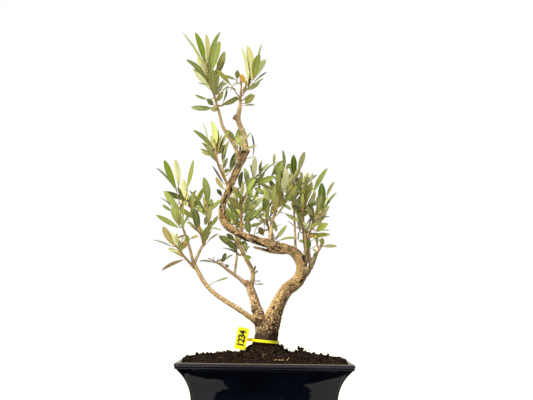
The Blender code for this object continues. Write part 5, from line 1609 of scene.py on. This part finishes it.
def make_pot():
    rings = []
    for inset, height in pot_levels():
        length, depth = POT_LENGTH - 2 * inset, POT_DEPTH - 2 * inset
        rings.append(rounded_rectangle(length, depth, CORNER_RADIUS, height))
    sink = Sink()
    sink.add(*loft(rings))
    pot = placed("pot_base", sink.mesh("pot_base"))
    shell = bmesh.new()
    shell.from_mesh(pot.data)
    bmesh.ops.recalc_face_normals(shell, faces=shell.faces)
    shell.to_mesh(pot.data)
    shell.free()
    cutters = []
    middle_x = POT_LENGTH / 2 - wall_inset(PLINTH_HEIGHT) - 2 * WALL
    middle_y = POT_DEPTH / 2 - wall_inset(PLINTH_HEIGHT) - 2 * WALL
    for side in (-1, 1):
        across = (POT_LENGTH * FOOT_GAP_SHARE, FOOT_GAP_REACH, 2 * FOOT_GAP_HEIGHT)
        cutters.append(cutter_box(across, (0, side * (middle_y + FOOT_GAP_REACH / 2), 0)))
        along = (FOOT_GAP_REACH, POT_DEPTH * FOOT_GAP_SHARE, 2 * FOOT_GAP_HEIGHT)
        cutters.append(cutter_box(along, (side * (middle_x + FOOT_GAP_REACH / 2), 0, 0)))
        hole = bmesh.new()
        place = Matrix.Translation(Vector((side * DRAIN_SPREAD, 0, FLOOR / 2)) * MM)
        size = {"radius1": DRAIN_RADIUS * MM, "radius2": DRAIN_RADIUS * MM, "depth": 2 * FLOOR * MM}
        bmesh.ops.create_cone(hole, cap_ends=True, segments=40, matrix=place, **size)
        cutters.append(placed("cutter", drawn("cutter", hole)))
    for cutter in cutters:
        cut = pot.modifiers.new("cut", "BOOLEAN")
        cut.object = cutter
        cut.solver = "EXACT"
    mesh = final_mesh(pot)
    for cutter in cutters:
        bpy.data.objects.remove(cutter)
    mesh.polygons.foreach_set("use_smooth", [True] * len(mesh.polygons))
    mesh.set_sharp_from_angle(angle=POT_EDGE_ANGLE)
    add_piece("glazed_pot", mesh, [glaze_material()], ["pot"])


def cutter_box(size, centre):
    box = bmesh.new()
    bmesh.ops.create_cube(box, size=MM)
    bmesh.ops.scale(box, vec=size, verts=box.verts)
    bmesh.ops.translate(box, vec=Vector(centre) * MM, verts=box.verts)
    return placed("cutter", drawn("cutter", box))


def soil_height(x, y):
    across = 1 - abs(2 * x / POT_LENGTH) ** 2.5
    along = 1 - abs(2 * y / POT_DEPTH) ** 2.5
    radius = math.hypot(x, y)
    heap = HEAP_HEIGHT / (1 + math.exp((radius - HEAP_RADIUS) / HEAP_SLOPE))
    dome = DOME_HEIGHT * max(across, 0) * max(along, 0)
    lump = LUMP_HEIGHT * noise.noise(Vector((x, y, 0)) * MM / (LUMP_SIZE * MM))
    free = held(radius / LUMP_FREE_RADIUS - 1)
    bump_x, bump_y = (x - SOIL_BUMP[0]) / SOIL_BUMP_REACH[0], (y - SOIL_BUMP[1]) / SOIL_BUMP_REACH[1]
    rise = SOIL_BUMP_HEIGHT * math.exp(-(bump_x**2) - bump_y**2)
    spill_x, spill_y = (abs(x) - SPILL_PLACE[0]) / SPILL_REACH[0], (y - SPILL_PLACE[1]) / SPILL_REACH[1]
    spill = SPILL_HEIGHT * math.exp(-(spill_x**2) - spill_y**2)
    return SOIL_EDGE + dome + heap + lump * free + rise + spill


def crumbled_height(x, y):
    """The soil's height with its small clods and pits."""
    point = Vector((x, y, 0))
    clods = CLOD_HEIGHT * noise.turbulence(point / CLOD_SIZE, 4, False)
    clods += GRIT_HEIGHT * noise.noise(point / GRIT_SIZE)
    edge = min(POT_LENGTH / 2 - abs(x), POT_DEPTH / 2 - abs(y)) - RIM_WIDTH
    return soil_height(x, y) + (clods - CLOD_MEAN) * (0.2 + 0.8 * held(edge / CLOD_SIZE))


def resting_height(x, y):
    """Where a clod rests: on the soil, or on the rim beside it."""
    if abs(x) > POT_LENGTH / 2 - RIM_WIDTH or abs(y) > POT_DEPTH / 2 - RIM_WIDTH:
        return POT_HEIGHT - 0.3
    return crumbled_height(x, y)


class Clods:
    """Rough lumps of soil."""

    def __init__(self, seed):
        ball = bmesh.new()
        bmesh.ops.create_icosphere(ball, subdivisions=2, radius=0.5)
        self.points = [vertex.co.copy() for vertex in ball.verts]
        self.faces = [tuple(vertex.index for vertex in face.verts) for face in ball.faces]
        ball.free()
        self.rng = random.Random(seed)

    def add(self, sink, x, y, size, stretch, sunk=0.15, slot=0):
        """A lump of a size in mm that rests on the soil, sunk by a share of its size."""
        rng = self.rng
        turn = Matrix.Rotation(rng.uniform(0, 6.28), 3, "Z")
        turn = turn @ Matrix.Rotation(rng.uniform(-0.7, 0.7), 3, "X")
        centre = Vector((x, y, resting_height(x, y) + size * (0.5 - sunk) * stretch[2]))
        seat = Vector((rng.uniform(0, 90), 0, 0))
        points = []
        for point in self.points:
            rough = 1 + 0.9 * noise.noise(point * 3.1 + seat)
            points.append(centre + turn @ Vector([size * rough * p * s for p, s in zip(point, stretch)]))
        sink.add(points, self.faces, slot)


def soil_bed(half_x, half_y):
    """The crumbled top of the soil inside the rim, and its flat sides and underside."""
    columns, rows = int(2 * half_x / SOIL_SPACING), int(2 * half_y / SOIL_SPACING)
    points, faces = [], []
    for i in range(columns + 1):
        for j in range(rows + 1):
            x, y = (2 * i / columns - 1) * half_x, (2 * j / rows - 1) * half_y
            over = Vector((abs(x) - half_x + CORNER_RADIUS, abs(y) - half_y + CORNER_RADIUS))
            if min(over) > 0 and over.length > CORNER_RADIUS:
                x -= math.copysign(over.x * (1 - CORNER_RADIUS / over.length), x)
                y -= math.copysign(over.y * (1 - CORNER_RADIUS / over.length), y)
            points.append((x, y, crumbled_height(x, y)))
    width = rows + 1
    for i in range(columns):
        for j in range(rows):
            corner = i * width + j
            faces.append((corner, corner + width, corner + width + 1, corner + 1))
    loop = [i * width for i in range(columns)] + [columns * width + j for j in range(rows)]
    loop += [i * width + rows for i in range(columns, 0, -1)] + list(range(rows, 0, -1))
    low = len(points)
    points += [(points[corner][0], points[corner][1], POT_HEIGHT - RIM_BAND - 1) for corner in loop]
    for i, corner in enumerate(loop):
        j = (i + 1) % len(loop)
        faces.append((loop[j], corner, low + i, low + j))
    faces.append(tuple(reversed(range(low, low + len(loop)))))
    return points, faces


def make_soil():
    half_x, half_y = POT_LENGTH / 2 - RIM_WIDTH - 0.2, POT_DEPTH / 2 - RIM_WIDTH - 0.2
    sink = Sink()
    sink.add(*soil_bed(half_x, half_y))
    clods = Clods(SEED + 1)
    rng = clods.rng
    for _ in range(CRUMBS):
        x, y = rng.uniform(-half_x + 2, half_x - 2), rng.uniform(-half_y + 2, half_y - 2)
        size = CRUMB_SIZES[0] + (CRUMB_SIZES[1] - CRUMB_SIZES[0]) * rng.random() ** 2.5
        clods.add(sink, x, y, size, (1, rng.uniform(0.6, 1), rng.uniform(0.6, 0.9)), 0.3)
    for pixel, row, depth, size, tall in SOIL_CLODS:
        place = at(pixel, row, depth)
        clods.add(sink, place.x, place.y, size, (1, 0.8, tall), 0.15)
    for pixel, row, size, stretch in SOIL_BITS:
        clods.add(sink, *soil_place(pixel, row), size, stretch, 0.1, 1)
    chip = grained("wood_chip", 0.8, 0.3, (900, 4), ((0.3, "8a6440"), (0.6, "d0a678")), (2500, 3), 0.1)
    grass = grained("dry_grass", 0.7, 0.3, (700, 3), ((0.3, "4c4a30"), (0.6, "77704a")))
    for pixels, thick, slot in ((STALK, 0.3, 2), (CHIP_STALK, 0.4, 1)):
        line = smooth_line([(*at(pixel, row, STALK_DEPTH), thick) for pixel, row in pixels], 4)
        sink.add(*tube(line[:, :3], line[:, 3], 6), slot)
    add_piece("potting_soil", sink.mesh("soil"), [soil_material(), chip, grass], ["soil"])


def soil_place(pixel, row):
    """Where the view first meets the soil at a pixel, coming from the front."""
    for step in range(int(POT_DEPTH) - 14):
        point = at(pixel, row, -66 + step)
        if point.z <= soil_height(point.x, point.y):
            break
    return point.x, point.y


# ---- label ----


def make_label():
    yellow = label_material("label_yellow", "ece80e", 0.4)
    joint = label_material("label_joint", "f6d010", 0.45)
    ink = label_material("label_ink", "14140f", 0.6)
    sink = Sink()
    half, thick = BAND_HEIGHT / 2, BAND_THICKNESS / 2
    corners = ((thick, -half + 0.2), (thick, half - 0.2), (thick - 0.2, half), (0.2 - thick, half))
    corners += ((-thick, half - 0.2), (-thick, 0.2 - half), (0.2 - thick, -half), (thick - 0.2, -half))
    tilt = Matrix.Translation(BAND_CENTRE) @ Matrix.Rotation(BAND_TILT, 4, "Y")
    rings = []
    for step in range(BAND_STEPS):
        angle = 2 * math.pi * step / BAND_STEPS
        way = Vector((math.cos(angle), math.sin(angle), 0))
        ring = [way * (BAND_RADIUS + out) + Vector((0, 0, up)) for out, up in corners]
        rings.append([np.array(tilt @ point) for point in ring])
    sink.add(*loft(rings, closed=True))
    strap = []
    for x, y, tall in STRAP:
        middle = tilt @ Vector((x - BAND_CENTRE[0], y - BAND_CENTRE[1], 0))
        ring = ((0.45, -tall / 2), (0.45, tall / 2), (-0.45, tall / 2), (-0.45, -tall / 2))
        strap.append([np.array(middle + Vector((0, across, up))) for across, up in ring])
    sink.add(*loft(strap), 1)
    upright = Matrix.Rotation(math.pi / 2, 4, "X")
    place = Matrix.Translation(TAG_CENTRE) @ Matrix.Rotation(TAG_LEAN, 4, "Y") @ upright
    layers = []
    for inset, rise in ((0.15, -0.5), (0, -0.3), (0, 0.3), (0.15, 0.5)):
        ring = rounded_rectangle(TAG_WIDTH - 2 * inset, TAG_HEIGHT - 2 * inset, TAG_CORNER, 0, 12, 5)
        layers.append([bowed(place, x, y, rise * TAG_THICKNESS) for x, y, _ in ring])
    sink.add(*loft(layers))
    digits, digit_faces = tag_digits(place)
    sink.add(digits, digit_faces, 2)
    mesh = sink.mesh("label", smooth=False)
    add_piece("loop_label", mesh, [yellow, joint, ink], ["label_band", "label_tag"])


def bowed(place, x, y, rise):
    """A point of the plate, which bows very slightly along its height."""
    return np.array(place @ Vector((x, y, rise + 0.25 * (1 - (2 * y / TAG_HEIGHT) ** 2))))


def tag_digits(place):
    """The number on the plate, which reads upwards, as thin raised ink."""
    font = bpy.data.curves.new("digits", "FONT")
    font.body = TAG_NUMBER
    font.size = DIGIT_SIZE
    font.extrude = 0.05
    font.offset = DIGIT_BOLDNESS
    font.space_character = DIGIT_SPACING
    font.align_x = "CENTER"
    font.align_y = "CENTER"
    mesh = final_mesh(placed("digits", font))
    turn = Matrix.Rotation(math.pi / 2, 3, "Z")
    points = [turn @ vertex.co for vertex in mesh.vertices]
    points = [bowed(place, p.x, p.y, p.z + TAG_THICKNESS / 2 + 0.02) for p in points]
    return points, [tuple(face.vertices) for face in mesh.polygons]


# ---- stage ----


def make_camera():
    camera = bpy.data.cameras.new("camera")
    camera.lens = LENS
    camera.sensor_width = SENSOR
    item = placed("camera", camera)
    item.matrix_world = Matrix.Translation(CAMERA_PLACE * MM) @ CAMERA_TURN.to_4x4()
    bpy.context.scene.camera = item


def make_world():
    """White where the camera sees it, softer where it lights the plant."""
    world = bpy.data.worlds.new("studio")
    world.use_nodes = True
    tree = world.node_tree
    back = tree.nodes["Background"]
    path = tree.nodes.new("ShaderNodeLightPath")
    strength = tree.nodes.new("ShaderNodeMapRange")
    strength.inputs["To Min"].default_value = AMBIENT
    strength.inputs["To Max"].default_value = 1.0
    tree.links.new(path.outputs["Is Camera Ray"], strength.inputs["Value"])
    tree.links.new(strength.outputs["Result"], back.inputs["Strength"])
    back.inputs["Color"].default_value = (1, 1, 1, 1)
    bpy.context.scene.world = world


def add_light(name, place, spread, strength):
    """A wide soft light, far off in the direction of place."""
    light = bpy.data.lights.new(name, "SUN")
    light.angle = math.radians(spread)
    light.energy = strength * math.pi
    light.color = KEY_COLOR
    item = placed(name, light)
    item.location = place
    item.rotation_euler = (-Vector(place)).to_track_quat("-Z", "Y").to_euler()


def plain_material(name, color, roughness):
    return grained(name, roughness, 0.5, (3, 2), ((0.3, color), (0.7, color)))


def mirrored(pixel, row):
    """The place on the floor whose reflection in the pot's front wall shows at a pixel."""
    low, high = 20.0, POT_HEIGHT - RIM_BAND
    for _ in range(30):
        height = (low + high) / 2
        point = at(pixel, row, wall_inset(height) - POT_DEPTH / 2)
        low, high = (height, high) if point.z > height else (low, height)
    slope = math.asin(held((height - ARC_FOOT) / WALL_ARC_RADIUS))
    normal = Vector((0, -math.cos(slope), -math.sin(slope)))
    ray = (point - CAMERA_PLACE).normalized()
    ray -= 2 * ray.dot(normal) * normal
    landed = point - ray * (point.z / ray.z)
    return Vector((landed.x, landed.y, 0))


def make_stage():
    """A white floor, and a dark card on it that only the pot's reflections see."""
    paper = bmesh.new()
    bmesh.ops.create_grid(paper, x_segments=1, y_segments=1, size=FLOOR_SPAN / 2)
    floor = placed("floor", drawn("floor", paper))
    floor.data.materials.append(plain_material("paper", 0.88, 0.9))
    floor.location = (0, 0, -0.6 * MM)
    sink = Sink()
    left = [mirrored(pixel, row) for row, pixel, _ in DARK_GLAZE]
    right = [mirrored(pixel, row) for row, _, pixel in DARK_GLAZE]
    count = len(left)
    for turn in range(4):
        spin = Matrix.Rotation(turn * math.pi / 2, 3, "Z")
        shift = (POT_LENGTH - POT_DEPTH) / 2 if turn % 2 else 0
        narrow = POT_DEPTH / POT_LENGTH if shift else 1
        points = [spin @ Vector((point.x * narrow, point.y - shift, 0)) for point in left + right]
        sink.add(points, [(i, i + 1, count + i + 1, count + i) for i in range(count - 1)])
    angles = [step * math.pi / (RING_STEPS / 2) for step in range(RING_STEPS)]
    turns = [Vector((math.cos(angle), math.sin(angle), 0)) for angle in angles]
    ring = [turn * reach for turn in turns for reach in (DARK_RING[turn.y > -0.1], DARK_RING[2])]
    corners = [2 * i for i in range(RING_STEPS)]
    last = 2 * RING_STEPS
    sink.add(ring, [(i, i + 1, (i + 3) % last, (i + 2) % last) for i in corners])
    card = placed("dark_card", sink.mesh("dark_card", smooth=False))
    card.data.materials.append(plain_material("dark_card", 0.004, 0.9))
    card.location = (0, 0, 0.2 * MM)
    for kind in ("camera", "diffuse", "transmission", "volume_scatter", "shadow"):
        setattr(card, f"visible_{kind}", False)


def main():
    make_camera()
    make_world()
    for light in LIGHTS:
        add_light(*light)
    make_stage()
    make_bark()
    make_foliage()
    make_soil()
    make_pot()
    make_label()
    bpy.context.scene.view_settings.view_transform = "Standard"
    bpy.context.view_layer.update()


main()
